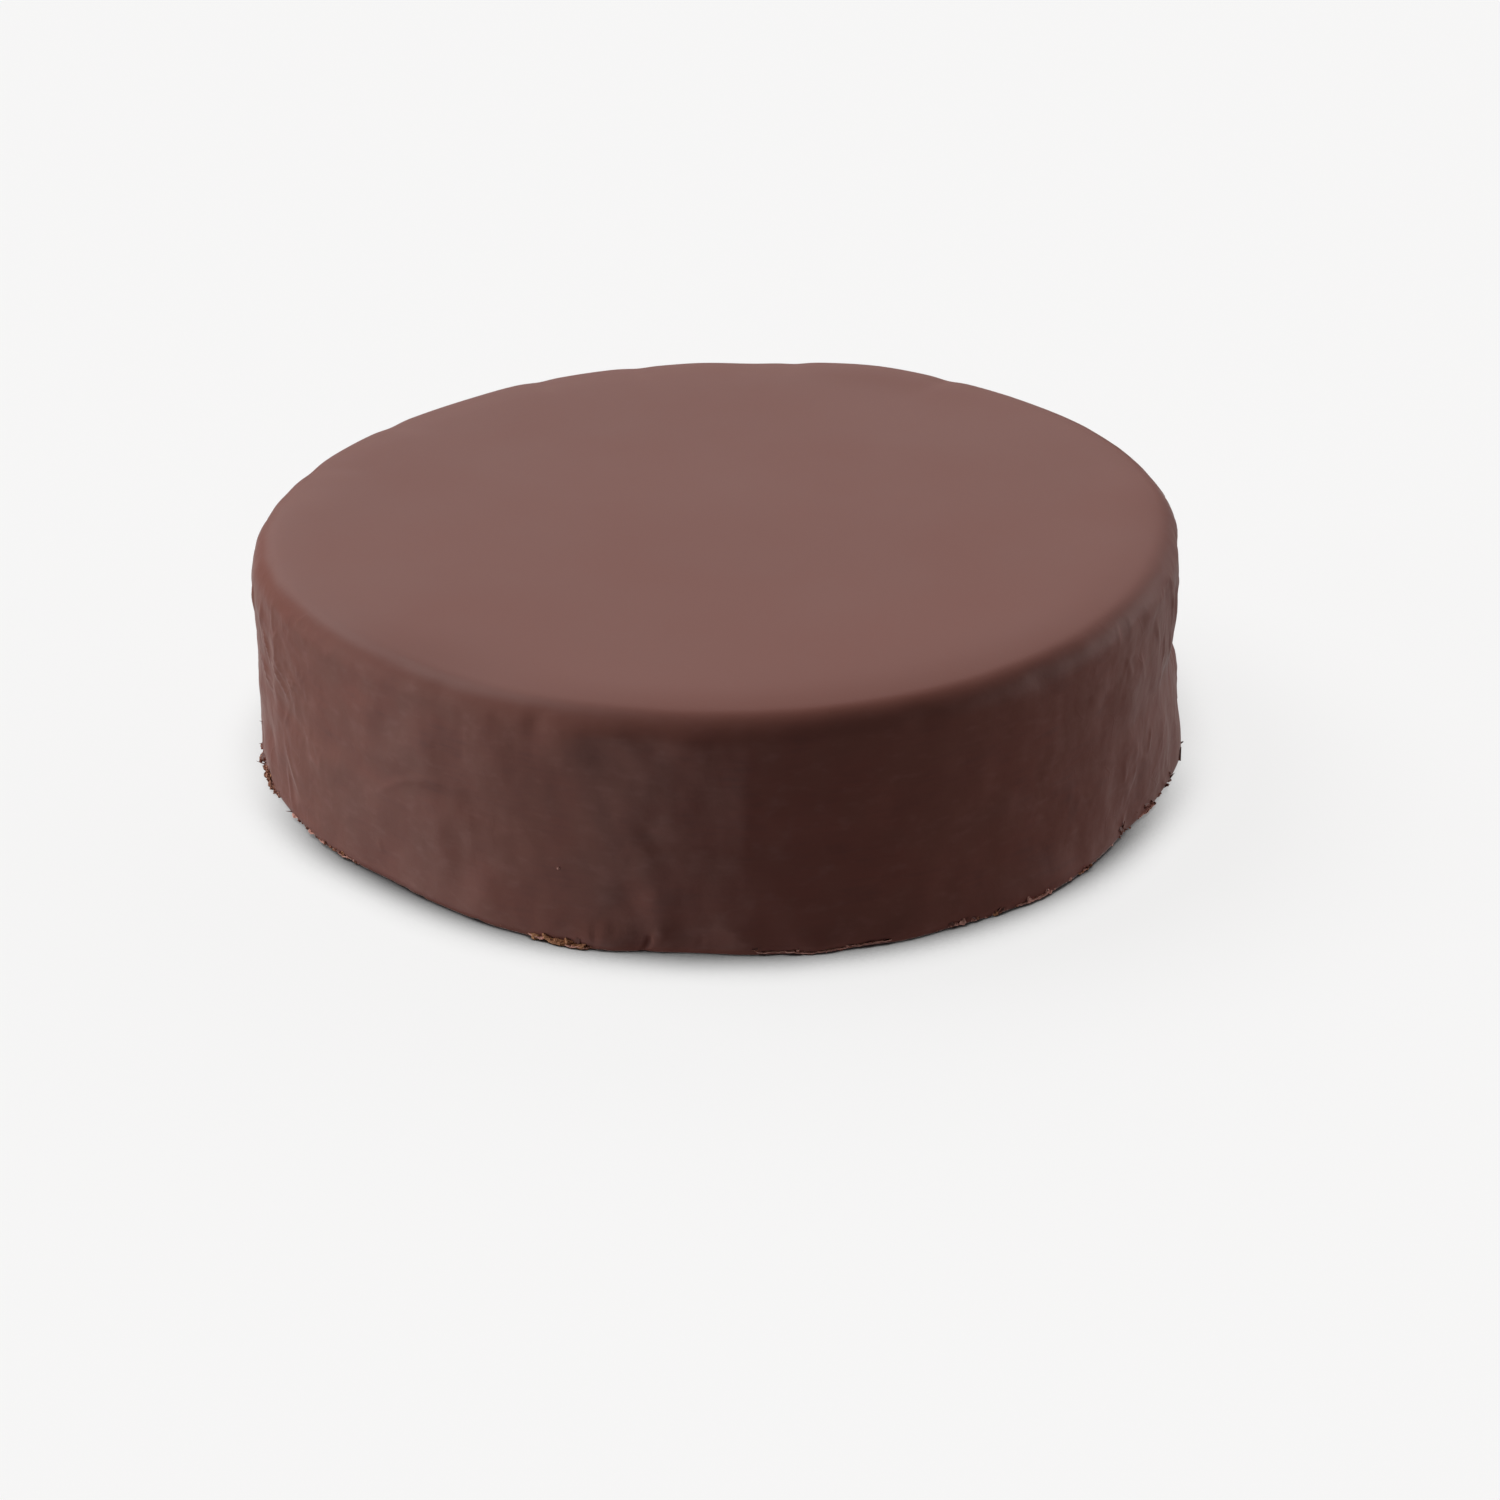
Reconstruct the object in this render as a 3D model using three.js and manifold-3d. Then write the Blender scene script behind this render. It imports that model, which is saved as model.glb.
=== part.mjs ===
// A whole sachertorte, uncut, standing on its flat sponge base.
// Two layers of sponge were stacked in a round tin and coated all over with a thin glaze, so the
// form is a low drum with a soft shoulder, a plan that is not quite round, a dimpled side and a
// broken hem of glaze chips and crumbs along the foot.
// Millimetres, +Z up. Angles run anticlockwise from +X, seen from above, in degrees.

import * as THREE from 'three';
import { mergeVertices } from 'three/addons/utils/BufferGeometryUtils.js';
import Module from 'manifold-3d';

// ---------------------------------------------------------------- driving dimensions

const cakeRadius = 120; // a 24 cm tin
const cakeHeight = 60.8; // at the rim
const shoulderRadius = 7.7;
const topCrown = 0.8; // the top is this much higher than its rim
const crownEdge = 11; // and falls to the rim over this width
const blendShare = 0.84; // the swellings of the rim die out from the rim to this share of the radius
const footFlare = 2.0; // how much wider the foot is than the top
const hemHeight = 1.3; // the glaze turns in below this, towards the base
const hemTuck = 0.7;

// The plan is a circle with a few slow waves in it: how many go round, how far each swings in and
// out, and where its first crest lies.
const planWaves = [
  { count: 2, swing: 0.6, crest: 87 },
  { count: 3, swing: 1.8, crest: 50 },
  { count: 4, swing: 0.6, crest: 4 },
  { count: 5, swing: 0.3, crest: 37 },
];

// Single swellings (reach above 0) and hollows (below 0) of the side. Angle and climb give the
// middle, climb being measured up the skin from the foot. Wide and tall are half sizes in mm.
const sideMarks = [
  { angle: 121, climb: 60, wide: 11, tall: 14, reach: 0.3 },
  { angle: 99, climb: 60, wide: 12, tall: 14, reach: -0.3 },
  { angle: 85, climb: 60, wide: 13, tall: 14, reach: -0.8 },
  { angle: 67, climb: 60, wide: 17, tall: 14, reach: 0.7 },
  { angle: 41, climb: 60, wide: 24, tall: 14, reach: -0.35 },
  { angle: 168, climb: 60, wide: 13, tall: 14, reach: -0.5 },
  { angle: 4, climb: 58, wide: 18, tall: 11, reach: 0.8 },
  { angle: 185, climb: 50, wide: 19, tall: 5, reach: 0.8 },
  { angle: 187, climb: 30.5, wide: 26, tall: 5, reach: 0.3 },
  { angle: 190, climb: 41, wide: 16, tall: 5, reach: 0.3 },
  { angle: 356, climb: 26, wide: 32, tall: 6.5, reach: -2.3 },
  { angle: 347, climb: 3, wide: 17, tall: 9, reach: 1.5 },
  { angle: 225, climb: 2, wide: 13, tall: 14, reach: -1.1 },
  { angle: 250, climb: 1, wide: 11, tall: 7, reach: 1.0 },
  { angle: 266, climb: 3, wide: 15, tall: 9, reach: -1.4 },
  { angle: 326, climb: 3, wide: 13, tall: 9, reach: -1.2 },
  { angle: 236, climb: 60, wide: 26, tall: 9, reach: -1.3 },
  { angle: 56, climb: 61, wide: 4, tall: 6, reach: -0.4 },
  { angle: 79, climb: 61, wide: 4, tall: 6, reach: -0.4 },
  { angle: 102, climb: 61, wide: 4, tall: 6, reach: -0.35 },
  { angle: 117, climb: 61, wide: 4, tall: 6, reach: -0.35 },
  { angle: 143, climb: 61, wide: 4.5, tall: 6, reach: -0.4 },
  { angle: 161, climb: 61, wide: 4.5, tall: 6, reach: -0.4 },
  { angle: 243, climb: 54.5, wide: 4.2, tall: 3.6, reach: -0.4 },
  { angle: 248, climb: 55.5, wide: 3.4, tall: 3.4, reach: -0.35 },
  { angle: 256.5, climb: 50.5, wide: 4.4, tall: 4.4, reach: -0.4 },
  { angle: 262, climb: 53, wide: 4.2, tall: 3.8, reach: -0.35 },
  { angle: 252.5, climb: 51.5, wide: 5.5, tall: 6, reach: 0.35 },
  { angle: 320, climb: 18.5, wide: 6, tall: 6, reach: 0.4 },
  { angle: 231.5, climb: 30, wide: 17, tall: 4, lean: -18, reach: 0.3 },
  { angle: 258, climb: 4.5, wide: 4.5, tall: 5, reach: 0.8 },
  { angle: 262.3, climb: 5, wide: 4, tall: 5, reach: 0.8 },
  { angle: 271, climb: 4.5, wide: 5, tall: 5, reach: 0.7 },
  { angle: 242, climb: 2, wide: 12, tall: 7, reach: 0.8 },
  { angle: 255.5, climb: 1.5, wide: 6, tall: 4, reach: 1.4 },
  { angle: 279.5, climb: 1.5, wide: 5, tall: 4, reach: 1.1 },
  { angle: 289, climb: 1.5, wide: 6, tall: 4, reach: 1.1 },
  { angle: 307, climb: 1.5, wide: 25, tall: 6, reach: 1.7 },
];

// The two sponge layers meet at half height, and the glaze sinks in over the joint.
const layerJoint = { climb: 29.5, tall: 3.4, depth: 0.35 };

// The crumb of the sponge shows through the glaze as lumps and dimples on a loose lattice, with
// longer runs of glaze between them that hang down the side.
const crumbRelief = {
  seed: 2408,
  columns: 62,
  rows: 5,
  lump: { wide: [4.2, 8.0], tall: [3.8, 7.0], reach: [0.12, 0.5] },
  dimple: { wide: [3.4, 5.4], tall: [3.2, 5.0], reach: [0.12, 0.5] },
  dimpleShare: 0.45,
  settle: 0.33, // the skin between the marks lies this far in
};
const glazeRuns = {
  seed: 515,
  count: 34,
  wide: [2.8, 4.2],
  tall: [9, 19],
  reach: [0.08, 0.3],
  leanMost: 24,
  climb: [14, 48],
};

// The top is flat to the eye, and swings by a fraction of a millimetre.
const topWaves = [
  { length: 168, swing: 0.12, heading: 25 },
  { length: 104, swing: 0.1, heading: 118 },
  { length: 71, swing: 0.06, heading: 71 },
];

// The glaze broke along the foot. Each stretch has chips of about one size, and the last entry is
// what lies all round. Chips of baked crust lie almost flat.
const brokenHem = {
  seed: 90210,
  stretches: [
    { from: 186, to: 192, chips: 4, broad: [2.4, 4.2], standOut: [0.8, 2.0], rise: [1.0, 5.5] },
    { from: 193, to: 199, chips: 4, broad: [1.8, 3.0], standOut: [0.3, 0.9], rise: [0.9, 3.0] },
    { from: 210, to: 219, chips: 4, broad: [1.8, 3.2], standOut: [0.3, 0.8], rise: [0.7, 1.6] },
    { from: 247, to: 254, chips: 5, broad: [3.0, 4.8], standOut: [1.2, 2.2], rise: [0.5, 1], tilt: [2, 12] },
    { from: 275, to: 290, chips: 7, broad: [2.4, 4.6], standOut: [0.2, 0.7], rise: [0.7, 1.4] },
    { from: 293, to: 309, chips: 5, broad: [1.8, 3.0], standOut: [0.3, 0.9], rise: [0.7, 1.6] },
    { from: 324, to: 342, chips: 6, broad: [2.2, 4.0], standOut: [0.4, 1.2], rise: [0.9, 4.5] },
    { from: 0, to: 360, chips: 22, broad: [1.8, 3.8], standOut: [0.2, 0.9], rise: [0.7, 2.4] },
  ],
  corners: 5,
  thick: [0.6, 1.1],
  tilt: [15, 80],
  clear: 0.15, // chips stay this far above what the cake stands on
};

// How finely the skin is divided: points round it, and steps up each stretch.
const pointsRound = 192;
const wallSteps = 11;
const shoulderSteps = 5;
const innerRings = [0.955, 0.9, 0.58, 0.28]; // shares of the radius, each with half the points

// ---------------------------------------------------------------- helpers

const radians = THREE.MathUtils.degToRad;
const wallClimb = cakeHeight - shoulderRadius; // where the side starts to turn in
const rimTurn = Math.PI / 2 - Math.atan((2 * topCrown) / crownEdge); // how far the shoulder turns
const rimClimb = wallClimb + shoulderRadius * rimTurn; // where the top starts

function startDraws(seed) {
  THREE.MathUtils.seededRandom(seed);
}

function between([low, high]) {
  return THREE.MathUtils.lerp(low, high, THREE.MathUtils.seededRandom());
}

// The shorter way round from one angle to another, in radians, both given in radians.
function turnBetween(from, to) {
  return Math.atan2(Math.sin(to - from), Math.cos(to - from));
}

// ---------------------------------------------------------------- relief of the side

function scatterCrumbRelief() {
  startDraws(crumbRelief.seed);
  const marks = [];
  const rowPitch = rimClimb / crumbRelief.rows;
  for (let row = 0; row < crumbRelief.rows; row += 1) {
    for (let column = 0; column < crumbRelief.columns; column += 1) {
      const sunk = between([0, 1]) < crumbRelief.dimpleShare;
      const kind = sunk ? crumbRelief.dimple : crumbRelief.lump;
      const sign = sunk ? -1 : 1;
      const stagger = (row % 2) / 2;
      marks.push({
        angle: ((column + stagger + between([-0.45, 0.45])) * 360) / crumbRelief.columns,
        climb: (row + 0.5 + between([-0.45, 0.45])) * rowPitch,
        wide: between(kind.wide),
        tall: between(kind.tall),
        lean: between([-40, 40]),
        reach: sign * between(kind.reach),
      });
    }
  }
  return marks;
}

function scatterGlazeRuns() {
  startDraws(glazeRuns.seed);
  const marks = [];
  for (let run = 0; run < glazeRuns.count; run += 1) {
    marks.push({
      angle: ((run + between([-0.4, 0.4])) * 360) / glazeRuns.count,
      climb: between(glazeRuns.climb),
      wide: between(glazeRuns.wide),
      tall: between(glazeRuns.tall),
      lean: between([-glazeRuns.leanMost, glazeRuns.leanMost]),
      reach: between(glazeRuns.reach),
    });
  }
  return marks;
}

// One mark is a smooth hump or hollow, oval, turned by its lean.
function markHeight(mark, angle, climb) {
  const across = turnBetween(radians(mark.angle), angle) * cakeRadius;
  const up = climb - mark.climb;
  const lean = radians(mark.lean ?? 0);
  const along = (across * Math.cos(lean) + up * Math.sin(lean)) / mark.wide;
  const over = (up * Math.cos(lean) - across * Math.sin(lean)) / mark.tall;
  return mark.reach * Math.exp(-(along * along) - over * over);
}

function jointHeight(climb) {
  const over = (climb - layerJoint.climb) / layerJoint.tall;
  return -layerJoint.depth * Math.exp(-over * over);
}

const fineMarks = [...scatterCrumbRelief(), ...scatterGlazeRuns()];

// The fine relief dies out over the shoulder, where the glaze is thickest.
function reliefHeight(angle, climb) {
  const shoulderFade = 1 - THREE.MathUtils.smoothstep(climb, wallClimb, rimClimb);
  let fine = jointHeight(climb) - crumbRelief.settle;
  for (const mark of fineMarks) {
    fine += markHeight(mark, angle, climb);
  }
  let broad = 0;
  for (const mark of sideMarks) {
    broad += markHeight(mark, angle, climb);
  }
  return fine * shoulderFade + broad;
}

// ---------------------------------------------------------------- skin of the cake

function planRadius(angle) {
  let radius = cakeRadius;
  for (const wave of planWaves) {
    radius += wave.swing * Math.cos(wave.count * (angle - radians(wave.crest)));
  }
  return radius;
}

// A point of the profile: how far it is inside the plan, its height, and the way the skin faces.
function profileAt(climb) {
  if (climb <= wallClimb) {
    const hemShare = Math.max(0, 1 - climb / hemHeight);
    const flare = footFlare * (1 - climb / wallClimb);
    return { inset: hemTuck * hemShare - flare, height: climb, out: 1, up: 0 };
  }
  const turned = (climb - wallClimb) / shoulderRadius;
  return {
    inset: shoulderRadius * (1 - Math.cos(turned)),
    height: wallClimb + shoulderRadius * Math.sin(turned),
    out: Math.cos(turned),
    up: Math.sin(turned),
  };
}

// A point of the side or shoulder. The foot itself stays level.
function sidePoint(angle, climb) {
  const profile = profileAt(climb);
  const relief = reliefHeight(angle, climb);
  const radius = planRadius(angle) - profile.inset + relief * profile.out;
  const height = profile.height + relief * profile.up;
  return new THREE.Vector3(radius * Math.cos(angle), radius * Math.sin(angle), height);
}

function topSwing(x, y) {
  let height = 0;
  for (const wave of topWaves) {
    const heading = radians(wave.heading);
    const along = x * Math.cos(heading) + y * Math.sin(heading);
    height += wave.swing * Math.cos((2 * Math.PI * along) / wave.length);
  }
  return height;
}

// How far the top has risen above its rim.
function crownRise(share) {
  const edge = Math.max(0, 1 - ((1 - share) * cakeRadius) / crownEdge);
  return topCrown * (1 - edge * edge);
}

// A point of the top or the underside, at a share of the way from the middle to the given rim.
function discPoint(rim, share, swings) {
  const point = new THREE.Vector3(rim.x * share, rim.y * share, rim.z);
  if (swings) {
    const fade = 1 - THREE.MathUtils.smoothstep(share, blendShare, 1);
    const level = THREE.MathUtils.lerp(rim.z, cakeHeight + topSwing(point.x, point.y), fade);
    point.z = level + crownRise(share);
  }
  return point;
}

// Joins two neighbouring rings of vertex numbers, which run anticlockwise seen from above. One may
// have twice as many points as the other, and a ring of one point is the middle of a disc.
function stitch(faces, first, second) {
  const most = Math.max(first.length, second.length);
  const at = (ring, step) => ring[Math.floor((step * ring.length) / most) % ring.length];
  for (let step = 0; step < most; step += 1) {
    const corners = [at(first, step), at(first, step + 1), at(second, step + 1), at(second, step)];
    if (corners[0] !== corners[1]) {
      faces.push(corners[0], corners[1], corners[first.length > second.length ? 3 : 2]);
    }
    if (corners[2] !== corners[3]) {
      faces.push(corners[first.length > second.length ? 1 : 0], corners[2], corners[3]);
    }
  }
}

function makeCakeGeometry() {
  const positions = [];
  const addRing = (count, place) => {
    const ring = [];
    for (let step = 0; step < count; step += 1) {
      ring.push(positions.length / 3);
      positions.push(...place((2 * Math.PI * step) / count).toArray());
    }
    return ring;
  };
  const discRings = (climb, swings) => innerRings.map((share, index) => (
    addRing(pointsRound / 2 ** (index + 1), (angle) => discPoint(sidePoint(angle, climb), share, swings))
  ));
  const middle = (height) => addRing(1, () => new THREE.Vector3(0, 0, height));

  const rings = [middle(0), ...discRings(0, false).reverse()];
  const climbs = [0, hemHeight];
  for (let step = 1; step <= wallSteps; step += 1) {
    climbs.push(THREE.MathUtils.lerp(hemHeight, wallClimb, step / wallSteps));
  }
  for (let step = 1; step <= shoulderSteps; step += 1) {
    climbs.push(THREE.MathUtils.lerp(wallClimb, rimClimb, step / shoulderSteps));
  }
  for (const climb of climbs) {
    rings.push(addRing(pointsRound, (angle) => sidePoint(angle, climb)));
  }
  rings.push(...discRings(rimClimb, true), middle(cakeHeight + topCrown + topSwing(0, 0)));

  const faces = [];
  for (let index = 1; index < rings.length; index += 1) {
    stitch(faces, rings[index - 1], rings[index]);
  }
  const geometry = new THREE.BufferGeometry();
  geometry.setAttribute('position', new THREE.Float32BufferAttribute(positions, 3));
  geometry.setIndex(faces);
  return geometry;
}

// ---------------------------------------------------------------- chips along the foot

// A chip of set glaze: an uneven flat polygon with some thickness, half sunk in the side. It leans
// out from the wall like the edge of a torn hem.
function makeChip(angle, broad, standOut, rise, thick, tilt) {
  const outline = new THREE.Shape();
  for (let corner = 0; corner < brokenHem.corners; corner += 1) {
    const around = ((corner + between([-0.25, 0.25])) * 2 * Math.PI) / brokenHem.corners;
    const reach = (broad / 2) * between([0.75, 1.15]);
    const x = reach * Math.cos(around);
    const y = reach * Math.sin(around);
    if (corner === 0) {
      outline.moveTo(x, y);
    } else {
      outline.lineTo(x, y);
    }
  }
  const chip = new THREE.ExtrudeGeometry(outline, { depth: thick, bevelEnabled: false });
  chip.translate(0, 0, -thick / 2);
  chip.rotateZ(between([0, 2 * Math.PI]));
  chip.rotateX(between([-0.35, 0.35]));
  chip.rotateY(radians(between(tilt)));
  const wall = Math.hypot(...sidePoint(angle, rise).toArray().slice(0, 2));
  chip.translate(wall + standOut - broad / 2, 0, rise);
  chip.rotateZ(angle);
  chip.computeBoundingBox();
  chip.translate(0, 0, Math.max(0, brokenHem.clear - chip.boundingBox.min.z));
  return chip;
}

function makeHemChips() {
  startDraws(brokenHem.seed);
  const chips = [];
  for (const stretch of brokenHem.stretches) {
    for (let index = 0; index < stretch.chips; index += 1) {
      const share = (index + between([0.15, 0.85])) / stretch.chips;
      const angle = radians(THREE.MathUtils.lerp(stretch.from, stretch.to, share));
      const broad = between(stretch.broad);
      const standOut = between(stretch.standOut);
      const rise = between(stretch.rise);
      const thick = between(brokenHem.thick);
      chips.push(makeChip(angle, broad, standOut, rise, thick, stretch.tilt ?? brokenHem.tilt));
    }
  }
  return chips;
}

// ---------------------------------------------------------------- joining the solid

const wasm = await Module();
wasm.setup();

function toSolid(geometry) {
  const bare = geometry.clone();
  bare.deleteAttribute('normal');
  bare.deleteAttribute('uv');
  const merged = mergeVertices(bare);
  const mesh = new wasm.Mesh({
    numProp: 3,
    vertProperties: new Float32Array(merged.attributes.position.array),
    triVerts: new Uint32Array(merged.index.array),
  });
  return new wasm.Manifold(mesh);
}

function toGeometry(solid) {
  const mesh = solid.getMesh();
  const geometry = new THREE.BufferGeometry();
  geometry.setAttribute('position', new THREE.BufferAttribute(mesh.vertProperties, 3));
  geometry.setIndex(new THREE.BufferAttribute(mesh.triVerts, 1));
  geometry.computeVertexNormals();
  geometry.computeBoundingBox();
  return geometry;
}

const glaze = new THREE.MeshStandardMaterial({ color: 0x6b4740, roughness: 0.42, metalness: 0 });

let cakeSolid = toSolid(makeCakeGeometry());
for (const chip of makeHemChips()) {
  cakeSolid = cakeSolid.add(toSolid(chip));
}

const cake = new THREE.Mesh(toGeometry(cakeSolid), glaze);
cake.name = 'cake';

// The origin is the middle of the base, so the drum is shifted by what its waves put it off.
const middle = cake.geometry.boundingBox.getCenter(new THREE.Vector3());
cake.position.set(-middle.x, -middle.y, 0);

const torte = new THREE.Group();
torte.add(cake);

export default torte;
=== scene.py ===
"""A whole uncut sachertorte: sponge under a thin satin chocolate glaze, on its bare baked base.

The torte is a low drum with a soft shoulder, a plan that is not quite round, a dimpled side and a
torn hem of glaze along the foot. Sizes are in millimetres about the drum's own axis, +Z up, and
angles run anticlockwise from +X, seen from above, in degrees. Finished meshes are in metres.
"""

from __future__ import annotations

import logging
import math
from dataclasses import dataclass, field
from enum import Enum

import bpy
import numpy as np
from mathutils import Matrix, Vector

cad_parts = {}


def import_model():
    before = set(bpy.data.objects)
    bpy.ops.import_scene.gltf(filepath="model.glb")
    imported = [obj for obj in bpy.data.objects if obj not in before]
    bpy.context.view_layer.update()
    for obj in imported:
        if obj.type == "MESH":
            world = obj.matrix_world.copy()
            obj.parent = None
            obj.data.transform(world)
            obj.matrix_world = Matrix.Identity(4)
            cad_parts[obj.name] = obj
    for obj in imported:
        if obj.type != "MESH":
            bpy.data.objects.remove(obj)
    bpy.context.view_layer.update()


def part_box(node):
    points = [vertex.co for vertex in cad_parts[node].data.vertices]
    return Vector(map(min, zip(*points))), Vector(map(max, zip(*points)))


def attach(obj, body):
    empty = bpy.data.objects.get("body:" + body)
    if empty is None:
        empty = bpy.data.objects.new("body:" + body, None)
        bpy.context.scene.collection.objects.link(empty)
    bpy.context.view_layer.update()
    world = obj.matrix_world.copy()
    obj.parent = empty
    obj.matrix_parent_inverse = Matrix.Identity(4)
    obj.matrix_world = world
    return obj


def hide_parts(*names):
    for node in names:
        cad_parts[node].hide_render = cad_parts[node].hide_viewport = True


LOG = logging.getLogger("torte")
MM = 0.001
BODY = "root"
CAKE_NODE = "cake"

Span = tuple[float, float]
Colour = tuple[float, float, float]


class Slot(Enum):
    """The names of the torte's kinds of finish."""

    GLAZE = "chocolate_glaze"
    BROKEN = "broken_glaze"
    SPONGE = "sponge"


class Matter(Enum):
    """What a chip at the foot broke off from."""

    GLAZE = "glaze"
    CRUST = "crust"


# ------------------------------------------------------------------ repeatable draws


class Draws:
    """Repeatable random numbers, the same ones that the solid was made with."""

    STEP = 0x6D2B79F5
    WORD = 0xFFFFFFFF

    def __init__(self, seed: int) -> None:
        """Start at a seed, which is any whole number, and pass over its first number."""
        self.state = seed
        self.next()

    def next(self) -> float:
        """Draw the next number.

        Returns:
            A number from 0 up to 1.
        """
        self.state = (self.state + self.STEP) & self.WORD
        mixed = self.state
        mixed = ((mixed ^ (mixed >> 15)) * (mixed | 1)) & self.WORD
        spread = ((mixed ^ (mixed >> 7)) * (mixed | 61)) & self.WORD
        mixed ^= (mixed + spread) & self.WORD
        return (mixed ^ (mixed >> 14)) / (self.WORD + 1)

    def between(self, span: Span) -> float:
        """Draw a number from a span, which is its lowest and highest value."""
        low, high = span
        return low + (high - low) * self.next()


# ------------------------------------------------------------------ node trees


class Term:
    """A number inside a node tree, which adds and multiplies like a number in code."""

    def __init__(self, graph: Graph, socket: bpy.types.NodeSocket) -> None:
        """Hold the output of a graph's node that carries the number."""
        self.graph = graph
        self.socket = socket

    def __add__(self, other: Term | float) -> Term:
        """Return self + other."""
        return self.graph.maths("ADD", self, other)

    def __sub__(self, other: Term | float) -> Term:
        """Return self - other."""
        return self.graph.maths("SUBTRACT", self, other)

    def __rsub__(self, other: float) -> Term:
        """Return other - self."""
        return self.graph.maths("SUBTRACT", other, self)

    def __mul__(self, other: Term | float) -> Term:
        """Return self * other."""
        return self.graph.maths("MULTIPLY", self, other)

    def __truediv__(self, other: Term | float) -> Term:
        """Return self / other."""
        return self.graph.maths("DIVIDE", self, other)

    def at_least(self, other: Term | float) -> Term:
        """Return the larger of self and other."""
        return self.graph.maths("MAXIMUM", self, other)

    def at_most(self, other: Term | float) -> Term:
        """Return the smaller of self and other."""
        return self.graph.maths("MINIMUM", self, other)

    def within(self, span: Span) -> Term:
        """Return the number that lies this share of the way through a span."""
        low, high = span
        return self * (high - low) + low

    def cos(self) -> Term:
        """Return the cosine of self."""
        return self.graph.maths("COSINE", self)

    def sin(self) -> Term:
        """Return the sine of self."""
        return self.graph.maths("SINE", self)


class Graph:
    """Adds nodes to a tree and joins them."""

    def __init__(self, tree: bpy.types.NodeTree) -> None:
        """Work on a shader, world or geometry tree, which is emptied first."""
        self.tree = tree
        self.tree.nodes.clear()

    def add(self, kind: str, inputs: dict | None = None, **settings: object) -> bpy.types.Node:
        """Add a node, set it up and feed its inputs.

        Args:
            kind: The node's type name.
            inputs: What each input gets, by its name or number: a term, a socket or a value.
            settings: The node's own options.

        Returns:
            The new node.
        """
        node = self.tree.nodes.new(kind)
        for name, value in settings.items():
            setattr(node, name, value)
        for key, value in (inputs or {}).items():
            self.feed(node.inputs[key], value)
        return node

    def feed(self, socket: bpy.types.NodeSocket, value: object) -> None:
        """Link a term or socket into an input, or set the input to a plain value.

        Args:
            socket: The input.
            value: What it gets.
        """
        if isinstance(value, Term):
            value = value.socket
        if isinstance(value, bpy.types.NodeSocket):
            self.tree.links.new(value, socket)
        else:
            socket.default_value = value

    def term(self, node: bpy.types.Node, output: str | int = 0) -> Term:
        """Return one output of a node as a term."""
        return Term(self, node.outputs[output])

    def maths(self, operation: str, *parts: Term | float) -> Term:
        """Add one step of arithmetic: a Math node's operation on its terms and numbers."""
        inputs = dict(enumerate(parts))
        return self.term(self.add("ShaderNodeMath", inputs, operation=operation))

    def smooth_rise(self, value: Term, start: Term | float, end: Term | float) -> Term:
        """Rise softly from 0 at a start to 1 at an end.

        Args:
            value: What is measured.
            start: Where the rise begins.
            end: Where it is complete.

        Returns:
            A number from 0 to 1.
        """
        inputs = {"Value": value, "From Min": start, "From Max": end}
        node = self.add("ShaderNodeMapRange", inputs, interpolation_type="SMOOTHSTEP")
        return self.term(node)

    def noise(self, place: object, size: Term | float, detail: float = 2.0) -> Term:
        """Smooth noise, from about -1 to 1.

        Args:
            place: The vector that it is read at, in metres.
            size: How large its lumps are, in metres.
            detail: How many finer layers it has.

        Returns:
            The noise, 0 on average.
        """
        scale = self.maths("DIVIDE", 1.0, size) if isinstance(size, Term) else 1.0 / size
        node = self.add("ShaderNodeTexNoise", {"Vector": place, "Scale": scale, "Detail": detail})
        return (self.term(node) - 0.5) * 2.0

    def sway(self, place: object, size: Term | float, reach: Term | float) -> bpy.types.NodeSocket:
        """Work out a smooth random shove in all three directions.

        Args:
            place: The vector that it is read at, in metres.
            size: How far apart unlike shoves are, in metres.
            reach: The longest shove, in metres.

        Returns:
            The shove, as a vector.
        """
        scale = self.maths("DIVIDE", 1.0, size)
        noise = self.add("ShaderNodeTexNoise", {"Vector": place, "Scale": scale, "Detail": 1.0})
        inputs = {0: noise.outputs[1], 1: (0.5, 0.5, 0.5)}
        centred = self.add("ShaderNodeVectorMath", inputs, operation="SUBTRACT")
        inputs = {0: centred.outputs[0], "Scale": self.maths("MULTIPLY", reach, 2.0)}
        return self.add("ShaderNodeVectorMath", inputs, operation="SCALE").outputs[0]

    def moved(self, place: object, shove: object) -> bpy.types.NodeSocket:
        """Add two vectors."""
        return self.add("ShaderNodeVectorMath", {0: place, 1: shove}).outputs[0]

    def border(self, place: object, size: Term | float) -> Term:
        """Measure how far a place is from the nearest border in a network of cells.

        Args:
            place: The vector that it is read at, in metres.
            size: How large the cells are, in metres.

        Returns:
            The distance, in metres.
        """
        inputs = {"Vector": place, "Scale": self.maths("DIVIDE", 1.0, size)}
        cells = self.add("ShaderNodeTexVoronoi", inputs, feature="DISTANCE_TO_EDGE")
        return self.term(cells, "Distance") * size

    def stretched(self, place: object, scale: tuple[float, float, float]) -> bpy.types.NodeSocket:
        """Multiply each part of a vector by its own number."""
        inputs = {0: place, 1: scale}
        return self.add("ShaderNodeVectorMath", inputs, operation="MULTIPLY").outputs[0]

    def carried(self, name: str) -> Term:
        """Read a number that the mesh carries, in a shader tree."""
        return self.term(self.add("ShaderNodeAttribute", attribute_name=name), "Fac")

    def bump(self, relief: Term) -> bpy.types.NodeSocket:
        """Turn a relief, in metres, into the direction that a surface faces."""
        inputs = {"Height": relief, "Distance": 1.0, "Strength": 1.0}
        return self.add("ShaderNodeBump", inputs).outputs[0]

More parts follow.
